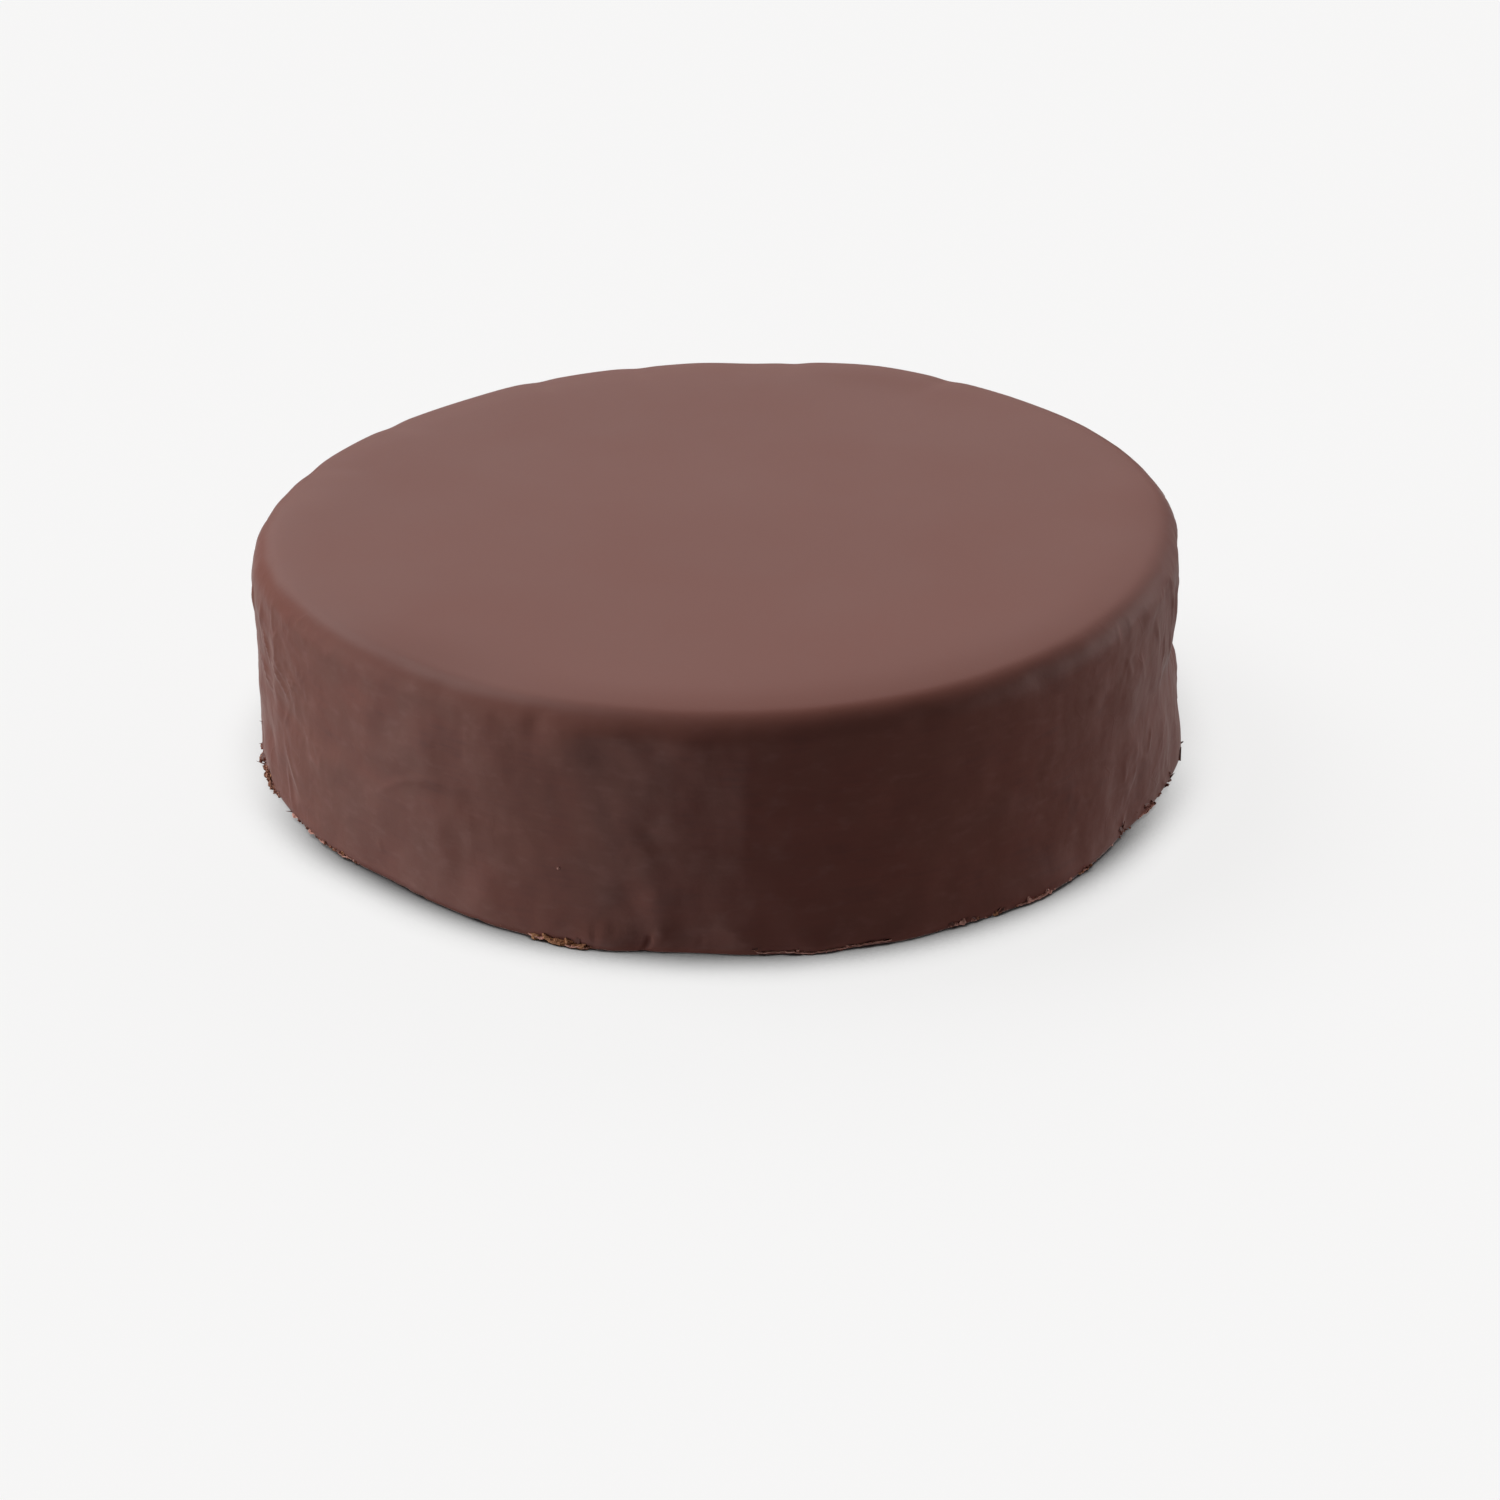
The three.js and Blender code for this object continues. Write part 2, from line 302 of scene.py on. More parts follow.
    def blend(self, share: Term | float, first: object, second: object) -> bpy.types.NodeSocket:
        """Mix two linear colours or sockets: share 0 is the first alone and 1 the second."""
        inputs = {0: share, 6: opaque(first), 7: opaque(second)}
        return self.add("ShaderNodeMix", inputs, data_type="RGBA").outputs[2]


def opaque(colour: object) -> object:
    """Give a plain colour its alpha, and pass anything else on."""
    return (*colour, 1.0) if isinstance(colour, tuple) else colour


def start_material(name: str) -> tuple[bpy.types.Material, Graph, bpy.types.NodeSocket]:
    """Start a material.

    Args:
        name: What it is called.

    Returns:
        The material, its empty tree and the socket that gives each point's place, in metres.
    """
    material = bpy.data.materials.new(name)
    material.use_nodes = True
    graph = Graph(material.node_tree)
    return material, graph, graph.add("ShaderNodeTexCoord").outputs["Object"]


class Recipe:
    """A Geometry Nodes tree with named inputs, which ends in realized instances and a material."""

    def __init__(self, name: str) -> None:
        """Start an empty tree.

        Args:
            name: What the tree is called.
        """
        self.tree = bpy.data.node_groups.new(name, "GeometryNodeTree")
        self.tree.is_modifier = True
        self.graph = Graph(self.tree)
        interface = self.tree.interface
        interface.new_socket("Geometry", in_out="INPUT", socket_type="NodeSocketGeometry")
        interface.new_socket("Geometry", in_out="OUTPUT", socket_type="NodeSocketGeometry")
        self.values: dict[str, object] = {}
        self.entry = self.graph.add("NodeGroupInput")

    def size(self, name: str, value: float) -> Term:
        """Add a named number, which the modifier sets, as an input of the tree."""
        return self._input(name, value, "NodeSocketFloat")

    def seed(self, value: int) -> Term:
        """Add the seed of everything random in the tree as an input."""
        return self._input("Seed", value, "NodeSocketInt")

    def _input(self, name: str, value: object, kind: str) -> Term:
        """Add one input and remember its value.

        Args:
            name: The input's name.
            value: What the modifier sets it to.
            kind: The type of its socket.

        Returns:
            The input, for use inside the tree.
        """
        self.tree.interface.new_socket(name, in_out="INPUT", socket_type=kind)
        self.values[name] = value
        return Term(self.graph, self.entry.outputs[name])

    def attribute(self, name: str) -> Term:
        """Read a number that the mesh carries at each point."""
        node = self.graph.add("GeometryNodeInputNamedAttribute", {"Name": name}, data_type="FLOAT")
        return self.graph.term(node)

    def place(self) -> bpy.types.NodeSocket:
        """Read where each point is."""
        return self.graph.add("GeometryNodeInputPosition").outputs[0]

    def vector(self, x: object, y: object, z: object) -> bpy.types.NodeSocket:
        """Join three numbers into a vector."""
        return self.graph.add("ShaderNodeCombineXYZ", {0: x, 1: y, 2: z}).outputs[0]

    def seeded_place(self, value: int) -> bpy.types.NodeSocket:
        """Read where each point is, lifted by the seed so that each seed has noise of its own."""
        return self.graph.moved(self.place(), self.vector(0, 0, self.seed(value)))

    def close(self, geometry: bpy.types.NodeSocket) -> None:
        """End the tree.

        Args:
            geometry: What the steps before have made.
        """
        real = self.graph.add("GeometryNodeRealizeInstances", {0: geometry})
        self._input("Finish", None, "NodeSocketMaterial")
        finish = self.entry.outputs["Finish"]
        dressed = self.graph.add("GeometryNodeSetMaterial", {0: real.outputs[0], 2: finish})
        self.graph.add("NodeGroupOutput", {0: dressed.outputs[0]})

    def bake(self, mesh: bpy.types.Mesh, finish: bpy.types.Material) -> bpy.types.Mesh:
        """Run the tree on a mesh and keep the result as a plain mesh.

        Args:
            mesh: What the tree starts from.
            finish: The material that it sets.

        Returns:
            The finished mesh.
        """
        holder = bpy.data.objects.new(mesh.name, mesh)
        bpy.context.scene.collection.objects.link(holder)
        modifier = holder.modifiers.new(self.tree.name, "NODES")
        modifier.node_group = self.tree
        self.values["Finish"] = finish
        for item in self.tree.interface.items_tree:
            if item.in_out == "INPUT" and item.name in self.values:
                modifier[item.identifier] = self.values[item.name]
        depsgraph = bpy.context.evaluated_depsgraph_get()
        made = bpy.data.meshes.new_from_object(
            holder.evaluated_get(depsgraph), preserve_all_data_layers=True, depsgraph=depsgraph
        )
        holder.modifiers.remove(modifier)
        bpy.data.objects.remove(holder)
        return made


# ------------------------------------------------------------------ meshes


def points_of(mesh: bpy.types.Mesh) -> np.ndarray:
    """Read a mesh's points.

    Args:
        mesh: Any mesh.

    Returns:
        One row of x, y, z for each point.
    """
    flat = np.empty(len(mesh.vertices) * 3, np.float32)
    mesh.vertices.foreach_get("co", flat)
    return flat.reshape(-1, 3).astype(float)


def move_points(mesh: bpy.types.Mesh, points: np.ndarray) -> None:
    """Write a mesh's points back, from one row of x, y, z for each."""
    mesh.vertices.foreach_set("co", points.astype(np.float32).ravel())
    mesh.update()


def add_attribute(mesh: bpy.types.Mesh, name: str, values: np.ndarray) -> None:
    """Give each point of a mesh a number of its own, under a name."""
    layer = mesh.attributes.new(name, "FLOAT", "POINT")
    layer.data.foreach_set("value", values.astype(np.float32))


@dataclass
class Parcel:
    """Points and triangles that are gathered before they become a mesh."""

    points: list[np.ndarray] = field(default_factory=list)
    faces: list[np.ndarray] = field(default_factory=list)
    edge: list[np.ndarray] = field(default_factory=list)
    count: int = 0

    def add(self, points: np.ndarray, faces: np.ndarray, edge: np.ndarray) -> None:
        """Add a closed shape.

        Args:
            points: Its points, in millimetres.
            faces: Its triangles, by point number.
            edge: How much of a broken edge each point is, from 0 to 1.
        """
        self.points.append(points)
        self.faces.append(faces + self.count)
        self.edge.append(edge)
        self.count += len(points)

    def mesh(self, name: str) -> bpy.types.Mesh:
        """Make one mesh of all that was gathered.

        Args:
            name: The mesh's name.

        Returns:
            The mesh, in metres, with its points' edge numbers.
        """
        made = bpy.data.meshes.new(name)
        made.from_pydata(np.concatenate(self.points) * MM, [], np.concatenate(self.faces))
        add_attribute(made, "edge", np.concatenate(self.edge))
        return made


def place_at(angle: float, reach: float, level: float) -> tuple[float, float, float]:
    """Find a place from its angle, its distance from the drum's axis and its level."""
    turn = math.radians(angle)
    return reach * math.cos(turn), reach * math.sin(turn), level


def stitch(first: np.ndarray, second: np.ndarray) -> np.ndarray:
    """Join two neighbouring rings of points with triangles.

    Args:
        first: Point numbers of the ring that comes first on the way out, up or in.
        second: The next ring, with as many points, half or twice as many, or one.

    Returns:
        Triangles that face outwards.
    """
    most = max(len(first), len(second))
    steps = np.arange(most)
    here = [ring[(steps * len(ring)) // most] for ring in (first, second)]
    after = [ring[(((steps + 1) * len(ring)) // most) % len(ring)] for ring in (first, second)]
    shrinks = len(first) > len(second)
    low = np.stack([here[0], after[0], here[1] if shrinks else after[1]], axis=1)
    high = np.stack([after[0] if shrinks else here[0], after[1], here[1]], axis=1)
    return np.concatenate([low[here[0] != after[0]], high[here[1] != after[1]]])


def finish_piece(mesh: bpy.types.Mesh, name: str, smooth: bool) -> bpy.types.Object:
    """Make a piece of the torte from its finished mesh.

    Args:
        mesh: The mesh, in place and with its material.
        name: The piece's name.
        smooth: Whether its faces are shaded smooth.

    Returns:
        The piece, which moves with the torte.
    """
    mesh.name = name
    mesh.polygons.foreach_set("use_smooth", np.full(len(mesh.polygons), smooth))
    mesh.update()
    piece = bpy.data.objects.new(name, mesh)
    bpy.context.scene.collection.objects.link(piece)
    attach(piece, BODY)
    LOG.info("%s: %d triangles", name, sum(len(face.vertices) - 2 for face in mesh.polygons))
    return piece


# ------------------------------------------------------------------ finishes


@dataclass(frozen=True)
class GlazeFinish:
    """Set chocolate glaze: satin, faintly cloudy, with fine strokes and mottling round the side."""

    tone: Colour = (0.1865, 0.0740, 0.0575)
    warm: Colour = (0.1970, 0.0705, 0.0550)
    dull: Colour = (0.1620, 0.0655, 0.0535)
    pale: Colour = (0.2120, 0.0880, 0.0715)
    roughness: Span = (0.46, 0.54)
    bending: float = 1.47
    shine: float = 0.12
    bloom: float = 0.2
    bloom_spread: float = 0.2
    warm_range: Span = (-0.55, 0.65)
    warm_patches: float = 1.1
    warm_over: Span = (0.2, 1.0)
    dull_range: Span = (-0.1, 0.9)
    dull_strokes: float = 0.5
    pale_range: Span = (0.0, 0.8)
    pale_patches: float = 0.6
    uneven_range: Span = (-0.8, 0.8)
    uneven_clouds: float = 0.6
    cloud_size: float = 34.0
    patch_size: float = 10.0
    mottle_size: float = 2.6
    mottle_scale: tuple[float, float, float] = (0.5, 0.5, 1.0)
    pebble_size: float = 4.2
    pebble_depth: float = 0.06
    pebble_share: Span = (0.7, 1.6)
    grain_size: float = 0.8
    grain_depth: float = 0.010
    stroke_scale: tuple[float, float, float] = (0.1, 0.1, 1.0)
    stroke_size: float = 1.2
    stroke_depth: float = 0.02
    line_size: float = 6.0
    line_bend: float = 9.0
    line_drift: float = 2.6
    line_spread: float = 7.8
    line_width: float = 0.5
    line_depth: float = 0.04
    line_scale: tuple[float, float, float] = (1.0, 1.0, 1.15)
    line_share: Span = (0.0, 0.4)

    def make(self) -> bpy.types.Material:
        """Build the material.

        Returns:
            The material.
        """
        material, graph, place = start_material("chocolate_glaze")
        side = graph.carried("side")
        pucker = graph.carried("pucker")
        clouds = graph.noise(place, self.cloud_size * MM, 3.0)
        patches = graph.noise(place, self.patch_size * MM, 2.0)
        mottle = graph.noise(graph.stretched(place, self.mottle_scale), self.mottle_size * MM, 2.0)
        strokes = graph.noise(graph.stretched(place, self.stroke_scale), self.stroke_size * MM, 2.0)
        pebbles = graph.noise(place, self.pebble_size * MM, 1.0)
        grain = graph.noise(place, self.grain_size * MM, 2.0)
        warmth = graph.smooth_rise(clouds + patches * side * self.warm_patches, *self.warm_range)
        warmth = (warmth - 0.5) * side.within(self.warm_over) + 0.5
        dullness = graph.smooth_rise(patches + strokes * self.dull_strokes, *self.dull_range) * side
        paleness = graph.smooth_rise(mottle - patches * self.pale_patches, *self.pale_range) * side
        colour = graph.blend(warmth, self.tone, self.warm)
        colour = graph.blend(dullness, colour, self.dull)
        colour = graph.blend(paleness, colour, self.pale)
        uneven = graph.smooth_rise(patches * side + clouds * self.uneven_clouds, *self.uneven_range)
        roughness = uneven.within(self.roughness)
        lines = self._fine_lines(graph, place) * self.line_depth * pucker
        coarse = pebbles * self.pebble_depth * pucker.within(self.pebble_share)
        coarse = (strokes * self.stroke_depth + coarse + lines) * side
        normal = graph.bump((coarse + grain * self.grain_depth) * MM)
        inputs = {"Base Color": colour, "Roughness": roughness, "Normal": normal}
        shader = graph.add("ShaderNodeBsdfPrincipled", inputs)
        shader.inputs["IOR"].default_value = self.bending
        shader.inputs["Specular IOR Level"].default_value = self.shine
        shader.inputs["Sheen Weight"].default_value = self.bloom
        shader.inputs["Sheen Roughness"].default_value = self.bloom_spread
        graph.add("ShaderNodeOutputMaterial", {0: shader.outputs[0]})
        return material

    def _fine_lines(self, graph: Graph, place: bpy.types.NodeSocket) -> Term:
        """Draw the thin broken lines of skin that the glaze set in.

        Args:
            graph: The glaze's tree.
            place: The place of each point.

        Returns:
            A number that is 1 on a line and 0 off it.
        """
        bend = graph.sway(place, self.line_bend * MM, self.line_drift * MM)
        crooked = graph.moved(place, bend)
        away = graph.border(graph.stretched(crooked, self.line_scale), self.line_size * MM)
        lines = 1.0 - graph.smooth_rise(away, 0.0, self.line_width * MM)
        some = graph.smooth_rise(graph.noise(place, self.line_spread * MM, 1.0), *self.line_share)
        return lines * some


@dataclass(frozen=True)
class BrokenFinish:
    """Broken glaze: the glaze's own brown on its faces, dry and reddish where it snapped."""

    name: str = "broken_glaze"
    face: Colour = (0.14, 0.053, 0.042)
    snapped: Colour = (0.36, 0.150, 0.105)
    mottle_size: float = 1.1
    mottle_share: float = 0.6
    grain_size: float = 0.22
    grain_depth: float = 0.06
    snapped_range: Span = (0.15, 1.0)
    roughness: Span = (0.5, 0.75)
    shine: float = 0.2

    def make(self) -> bpy.types.Material:
        """Build the material.

        Returns:
            The material.
        """
        material, graph, place = start_material(self.name)
        edge = graph.carried("edge")
        mottle = graph.noise(place, self.mottle_size * MM, 2.0)
        grain = graph.noise(place, self.grain_size * MM, 2.0)
        share = graph.smooth_rise(edge + mottle * self.mottle_share, *self.snapped_range)
        colour = graph.blend(share, self.face, self.snapped)
        normal = graph.bump(grain * (self.grain_depth * MM))
        inputs = {"Base Color": colour, "Roughness": share.within(self.roughness), "Normal": normal}
        shader = graph.add("ShaderNodeBsdfPrincipled", inputs)
        shader.inputs["Specular IOR Level"].default_value = self.shine
        graph.add("ShaderNodeOutputMaterial", {0: shader.outputs[0]})
        return material


@dataclass(frozen=True)
class SpongeFinish:
    """Baked chocolate sponge: dull brown crumb, with golden brown where the tin touched it and painted
    shade in its pores.
    """

    name: str = "sponge_base"
    crumb: Colour = (0.135, 0.052, 0.028)
    baked: Colour = (0.31, 0.140, 0.068)
    # The pore colour is painted shade in the hollows of the crumb.
    pore: Colour = (0.050, 0.020, 0.012)
    cloud_size: float = 9.0
    pore_size: float = 1.3
    grain_size: float = 0.3
    grain_depth: float = 0.12
    baked_range: Span = (-0.4, 0.7)
    baked_pores: float = 0.5
    pore_range: Span = (0.15, 0.7)
    pore_relief: float = 2.0
    roughness: float = 0.85

    def make(self) -> bpy.types.Material:
        """Build the material.

        Returns:
            The material.
        """
        material, graph, place = start_material(self.name)
        clouds = graph.noise(place, self.cloud_size * MM, 3.0)
        pores = graph.noise(place, self.pore_size * MM, 3.0)
        grain = graph.noise(place, self.grain_size * MM, 2.0)
        baked = graph.smooth_rise(clouds + pores * self.baked_pores, *self.baked_range)
        colour = graph.blend(baked, self.crumb, self.baked)
        # The pores are darker: painted shade in the hollows of the crumb.
        colour = graph.blend(graph.smooth_rise(pores, *self.pore_range), colour, self.pore)
        normal = graph.bump((grain - pores * self.pore_relief) * (self.grain_depth * MM))
        shader = graph.add("ShaderNodeBsdfPrincipled", {"Base Color": colour, "Normal": normal})
        shader.inputs["Roughness"].default_value = self.roughness
        graph.add("ShaderNodeOutputMaterial", {0: shader.outputs[0]})
        return material


@dataclass(frozen=True)
class FloorFinish:
    """A plain pale floor that glows, so that the shadow of the lamps on it is soft, and a painted shadow
    lies close round the foot.
    """

    tone: Colour = (0.10, 0.10, 0.101)
    glow: Colour = (0.836, 0.832, 0.828)
    painted_shadow_reach: float = 15.0
    contact: Span = (0.42, 0.94)
    painted_shadow_at_sides: float = 0.22
    facing: Span = (0.15, 0.65)

    def make(self) -> bpy.types.Material:
        """Build the material.

        Returns:
            The material.
        """
        material, graph, place = start_material("pale_floor")
        matt = graph.add("ShaderNodeBsdfDiffuse", {"Color": opaque(self.tone)})
        # Ambient occlusion dims the glow near the foot: this is a painted contact shadow.
        distance = {"Distance": self.painted_shadow_reach * MM}
        near = graph.add("ShaderNodeAmbientOcclusion", distance, samples=6)
        shaded = 1.0 - graph.smooth_rise(graph.term(near, "AO"), *self.contact)
        glowing = 1.0 - shaded * self._front(graph, place)
        glow = graph.add("ShaderNodeEmission", {"Color": opaque(self.glow), "Strength": glowing})
        both = graph.add("ShaderNodeAddShader", {0: matt.outputs[0], 1: glow.outputs[0]})
        graph.add("ShaderNodeOutputMaterial", {0: both.outputs[0]})
        return material

    def _front(self, graph: Graph, place: bpy.types.NodeSocket) -> Term:
        """Work out how dark the painted shadow at the foot is: full in front, weak where light comes from
        the side.

        Args:
            graph: The floor's tree.
            place: The place of each point.

        Returns:
            A number from 0 to 1.
        """
        split = graph.add("ShaderNodeSeparateXYZ", {0: place})
        across = graph.term(split, "X")
        forward = graph.term(split, "Y") * -1.0
        facing = graph.maths("ARCTAN2", across, forward).cos()
        return graph.smooth_rise(facing, *self.facing).within((self.painted_shadow_at_sides, 1.0))


# ------------------------------------------------------------------ relief of the side


def turned_from(turns: np.ndarray, angle: float) -> np.ndarray:
    """Measure how far points, at turns in radians, are round from an angle in degrees."""
    turned = turns - math.radians(angle)
    return np.arctan2(np.sin(turned), np.cos(turned))


@dataclass(frozen=True)
class Mark:
    """A smooth oval hump (reach above 0) or hollow (below 0) of the side.

    The climb is measured up the skin from the foot. Wide and tall are half sizes, and the lean
    turns the oval.
    """

    angle: float
    climb: float
    wide: float
    tall: float
    reach: float
    lean: float = 0.0

    def height(self, turns: np.ndarray, climbs: np.ndarray, radius: float) -> np.ndarray:
        """Work out how far the mark lifts the skin.

        Args:
            turns: Angles of the points, in radians.
            climbs: Their climbs.
            radius: The drum's radius.

        Returns:
            The lift of each point.
        """
        across = turned_from(turns, self.angle) * radius
        up = climbs - self.climb
        cosine = math.cos(math.radians(self.lean))
        sine = math.sin(math.radians(self.lean))
        along = (across * cosine + up * sine) / self.wide
        over = (up * cosine - across * sine) / self.tall
        return self.reach * np.exp(-(along**2) - over**2)


@dataclass(frozen=True)
class MarkSizes:
    """The spans that the sizes of one kind of scattered mark are drawn from."""

    wide: Span
    tall: Span
    reach: Span

    def draw(self, draws: Draws, angle: float, climb: float, lean_most: float, sign: float) -> Mark:
        """Draw one mark.

        Args:
            draws: Where the numbers come from.
            angle: The mark's angle.
            climb: Its climb.
            lean_most: How far it may lean either way.
            sign: 1 for a hump and -1 for a hollow.

        Returns:
            The mark.
        """
        wide = draws.between(self.wide)
        tall = draws.between(self.tall)
        lean = draws.between((-lean_most, lean_most))
        return Mark(angle, climb, wide, tall, sign * draws.between(self.reach), lean)


@dataclass(frozen=True)
class CrumbRelief:
    """Lumps and dimples on a loose lattice, where the crumb shows through the glaze."""

    seed: int = 2408
    columns: int = 62
    rows: int = 5
    lump: MarkSizes = MarkSizes(wide=(4.2, 8.0), tall=(3.8, 7.0), reach=(0.12, 0.5))
    dimple: MarkSizes = MarkSizes(wide=(3.4, 5.4), tall=(3.2, 5.0), reach=(0.12, 0.5))
    dimple_share: float = 0.45
    jitter: float = 0.45
    lean_most: float = 40.0
    settle: float = 0.33

    def scatter(self, rim_climb: float) -> list[Mark]:
        """Draw all lumps and dimples.

        Args:
            rim_climb: Where the side's skin ends.

        Returns:
            The marks.
        """
        draws = Draws(self.seed)
        jitter = (-self.jitter, self.jitter)
        marks = []
        for row in range(self.rows):
            for column in range(self.columns):
                sunk = draws.next() < self.dimple_share
                angle = (column + (row % 2) / 2 + draws.between(jitter)) * 360 / self.columns
                climb = (row + 0.5 + draws.between(jitter)) * rim_climb / self.rows
                sizes = self.dimple if sunk else self.lump
                marks.append(sizes.draw(draws, angle, climb, self.lean_most, -1 if sunk else 1))
        return marks


@dataclass(frozen=True)
class GlazeRuns:
    """Long shallow runs of glaze that hang down the side."""

    seed: int = 515
    count: int = 34
    sizes: MarkSizes = MarkSizes(wide=(2.8, 4.2), tall=(9.0, 19.0), reach=(0.08, 0.3))
    climb: Span = (14.0, 48.0)
    jitter: float = 0.4
    lean_most: float = 24.0

    def scatter(self) -> list[Mark]:
        """Draw all runs.

        Returns:
            The marks.
        """
        draws = Draws(self.seed)
        marks = []
        for run in range(self.count):
            angle = (run + draws.between((-self.jitter, self.jitter))) * 360 / self.count
            # The order matters: wide, tall, lean and reach follow the climb.
            climb = draws.between(self.climb)
            marks.append(self.sizes.draw(draws, angle, climb, self.lean_most, 1))
        return marks


SIDE_MARKS = (
    Mark(angle=121, climb=60, wide=11, tall=14, reach=0.3),
    Mark(angle=99, climb=60, wide=12, tall=14, reach=-0.3),
    Mark(angle=85, climb=60, wide=13, tall=14, reach=-0.8),
    Mark(angle=67, climb=60, wide=17, tall=14, reach=0.7),
    Mark(angle=41, climb=60, wide=24, tall=14, reach=-0.35),
    Mark(angle=168, climb=60, wide=13, tall=14, reach=-0.5),
    Mark(angle=4, climb=58, wide=18, tall=11, reach=0.8),
    Mark(angle=185, climb=50, wide=19, tall=5, reach=0.8),
    Mark(angle=187, climb=30.5, wide=26, tall=5, reach=0.3),
    Mark(angle=190, climb=41, wide=16, tall=5, reach=0.3),
    Mark(angle=356, climb=26, wide=32, tall=6.5, reach=-2.3),
    Mark(angle=347, climb=3, wide=17, tall=9, reach=1.5),
    Mark(angle=225, climb=2, wide=13, tall=14, reach=-1.1),
    Mark(angle=250, climb=1, wide=11, tall=7, reach=1.0),
    Mark(angle=266, climb=3, wide=15, tall=9, reach=-1.4),
    Mark(angle=326, climb=3, wide=13, tall=9, reach=-1.2),
    Mark(angle=236, climb=60, wide=26, tall=9, reach=-1.3),
    Mark(angle=56, climb=61, wide=4, tall=6, reach=-0.4),
    Mark(angle=79, climb=61, wide=4, tall=6, reach=-0.4),
    Mark(angle=102, climb=61, wide=4, tall=6, reach=-0.35),
    Mark(angle=117, climb=61, wide=4, tall=6, reach=-0.35),
    Mark(angle=143, climb=61, wide=4.5, tall=6, reach=-0.4),
    Mark(angle=161, climb=61, wide=4.5, tall=6, reach=-0.4),
    Mark(angle=243, climb=54.5, wide=4.2, tall=3.6, reach=-0.4),
    Mark(angle=248, climb=55.5, wide=3.4, tall=3.4, reach=-0.35),
    Mark(angle=256.5, climb=50.5, wide=4.4, tall=4.4, reach=-0.4),
    Mark(angle=262, climb=53, wide=4.2, tall=3.8, reach=-0.35),
    Mark(angle=252.5, climb=51.5, wide=5.5, tall=6, reach=0.35),
    Mark(angle=320, climb=18.5, wide=6, tall=6, reach=0.4),
    Mark(angle=231.5, climb=30, wide=17, tall=4, lean=-18, reach=0.3),
    Mark(angle=258, climb=4.5, wide=4.5, tall=5, reach=0.8),
    Mark(angle=262.3, climb=5, wide=4, tall=5, reach=0.8),
    Mark(angle=271, climb=4.5, wide=5, tall=5, reach=0.7),
    Mark(angle=242, climb=2, wide=12, tall=7, reach=0.8),
    Mark(angle=255.5, climb=1.5, wide=6, tall=4, reach=1.4),
    Mark(angle=279.5, climb=1.5, wide=5, tall=4, reach=1.1),
    Mark(angle=289, climb=1.5, wide=6, tall=4, reach=1.1),
    Mark(angle=307, climb=1.5, wide=25, tall=6, reach=1.7),
)


@dataclass(frozen=True)
class Crease:
    """A narrow raised line of the skin, between two places that are given by angle and climb.

    The bow is how far its middle swings to the left on the way.
    """

    start: Span
    end: Span
    reach: float = 0.3
    wide: float = 0.9
    bow: float = 0.0

    def height(self, turns: np.ndarray, climbs: np.ndarray, radius: float) -> np.ndarray:
        """Work out how far the line lifts the skin.

        Args:
            turns: Angles of the points, in radians.
            climbs: Their climbs.
            radius: The drum's radius.

        Returns:
            The lift of each point.
        """
        across = turned_from(turns, self.start[0]) * radius
        up = climbs - self.start[1]
        run = math.radians(self.end[0] - self.start[0]) * radius
        rise = self.end[1] - self.start[1]
        length = math.hypot(run, rise)
        share = (across * run + up * rise) / length**2
        bend = 4 * self.bow * share * (1 - share)
        away = (up * run - across * rise) / length - bend
        ends = np.clip(4 * share * (1 - share), 0, 1)
        return self.reach * ends * np.exp(-((away / self.wide) ** 2))


CREASES = (
    Crease((197.8, 39.3), (204.0, 33.3), 0.42, 0.65),
    Crease((190.4, 35.4), (199.3, 31.9), 0.4, 0.65),
    Crease((193.0, 33.2), (198.6, 29.5), 0.36, 0.65),
    Crease((194.4, 45.0), (197.6, 37.0), 0.45, 0.6, 0.5),
    Crease((199.4, 41.5), (203.0, 37.6), 0.36, 0.65),
    Crease((203.6, 41.0), (206.6, 38.4), 0.3, 0.7),
    Crease((188.2, 52.0), (188.8, 44.0), 0.5, 0.9, 0.6),
    Crease((201.3, 22.0), (206.2, 8.5), 0.25, 1.1),
    Crease((194.7, 52.6), (193.4, 40.4), 0.35, 1.2),
    Crease((202.2, 13.0), (203.4, 3.0), 0.3),
    Crease((223.5, 23.0), (239.0, 33.0), 0.22, 1.1, 4.0),
    Crease((223.2, 11.0), (224.2, 7.0), 0.25, 0.7),
    Crease((324.4, 60.0), (323.6, 54.0), 0.3, 1.0),
    Crease((339.6, 43.0), (338.4, 35.0), 0.3, 0.9, 1.0),
    Crease((333.4, 23.5), (331.8, 17.5), 0.3, 0.9),
    Crease((342.6, 58.0), (344.2, 45.0), 0.4, 0.8, 1.5),
    Crease((345.6, 54.0), (344.4, 40.0), 0.45, 0.6, -1.0),
    Crease((347.4, 50.0), (346.8, 38.0), 0.42, 0.6, 0.8),
    Crease((343.2, 42.0), (343.6, 33.0), 0.34, 0.7, -0.6),
    Crease((349.8, 50.0), (348.0, 33.0), 0.35, 1.0, 1.5),
    Crease((335.2, 51.0), (337.0, 41.0), 0.28, 1.0),
    Crease((329.2, 47.0), (330.8, 38.0), 0.22, 1.1),
    Crease((254.5, 5.5), (254.9, 1.0), -0.2, 0.7, 0.4),
    Crease((255.2, 7.2), (256.8, 4.6), 0.22, 1.6),
    Crease((261.0, 5.2), (260.2, 0.3), -0.7, 0.6, 0.6),
    Crease((261.6, 6.6), (262.9, 4.4), 0.25, 1.5),
    Crease((267.0, 5.0), (266.4, 1.5), -0.15, 0.8),
    Crease((268.2, 8.0), (271.6, 5.5), 0.2, 1.6),
)


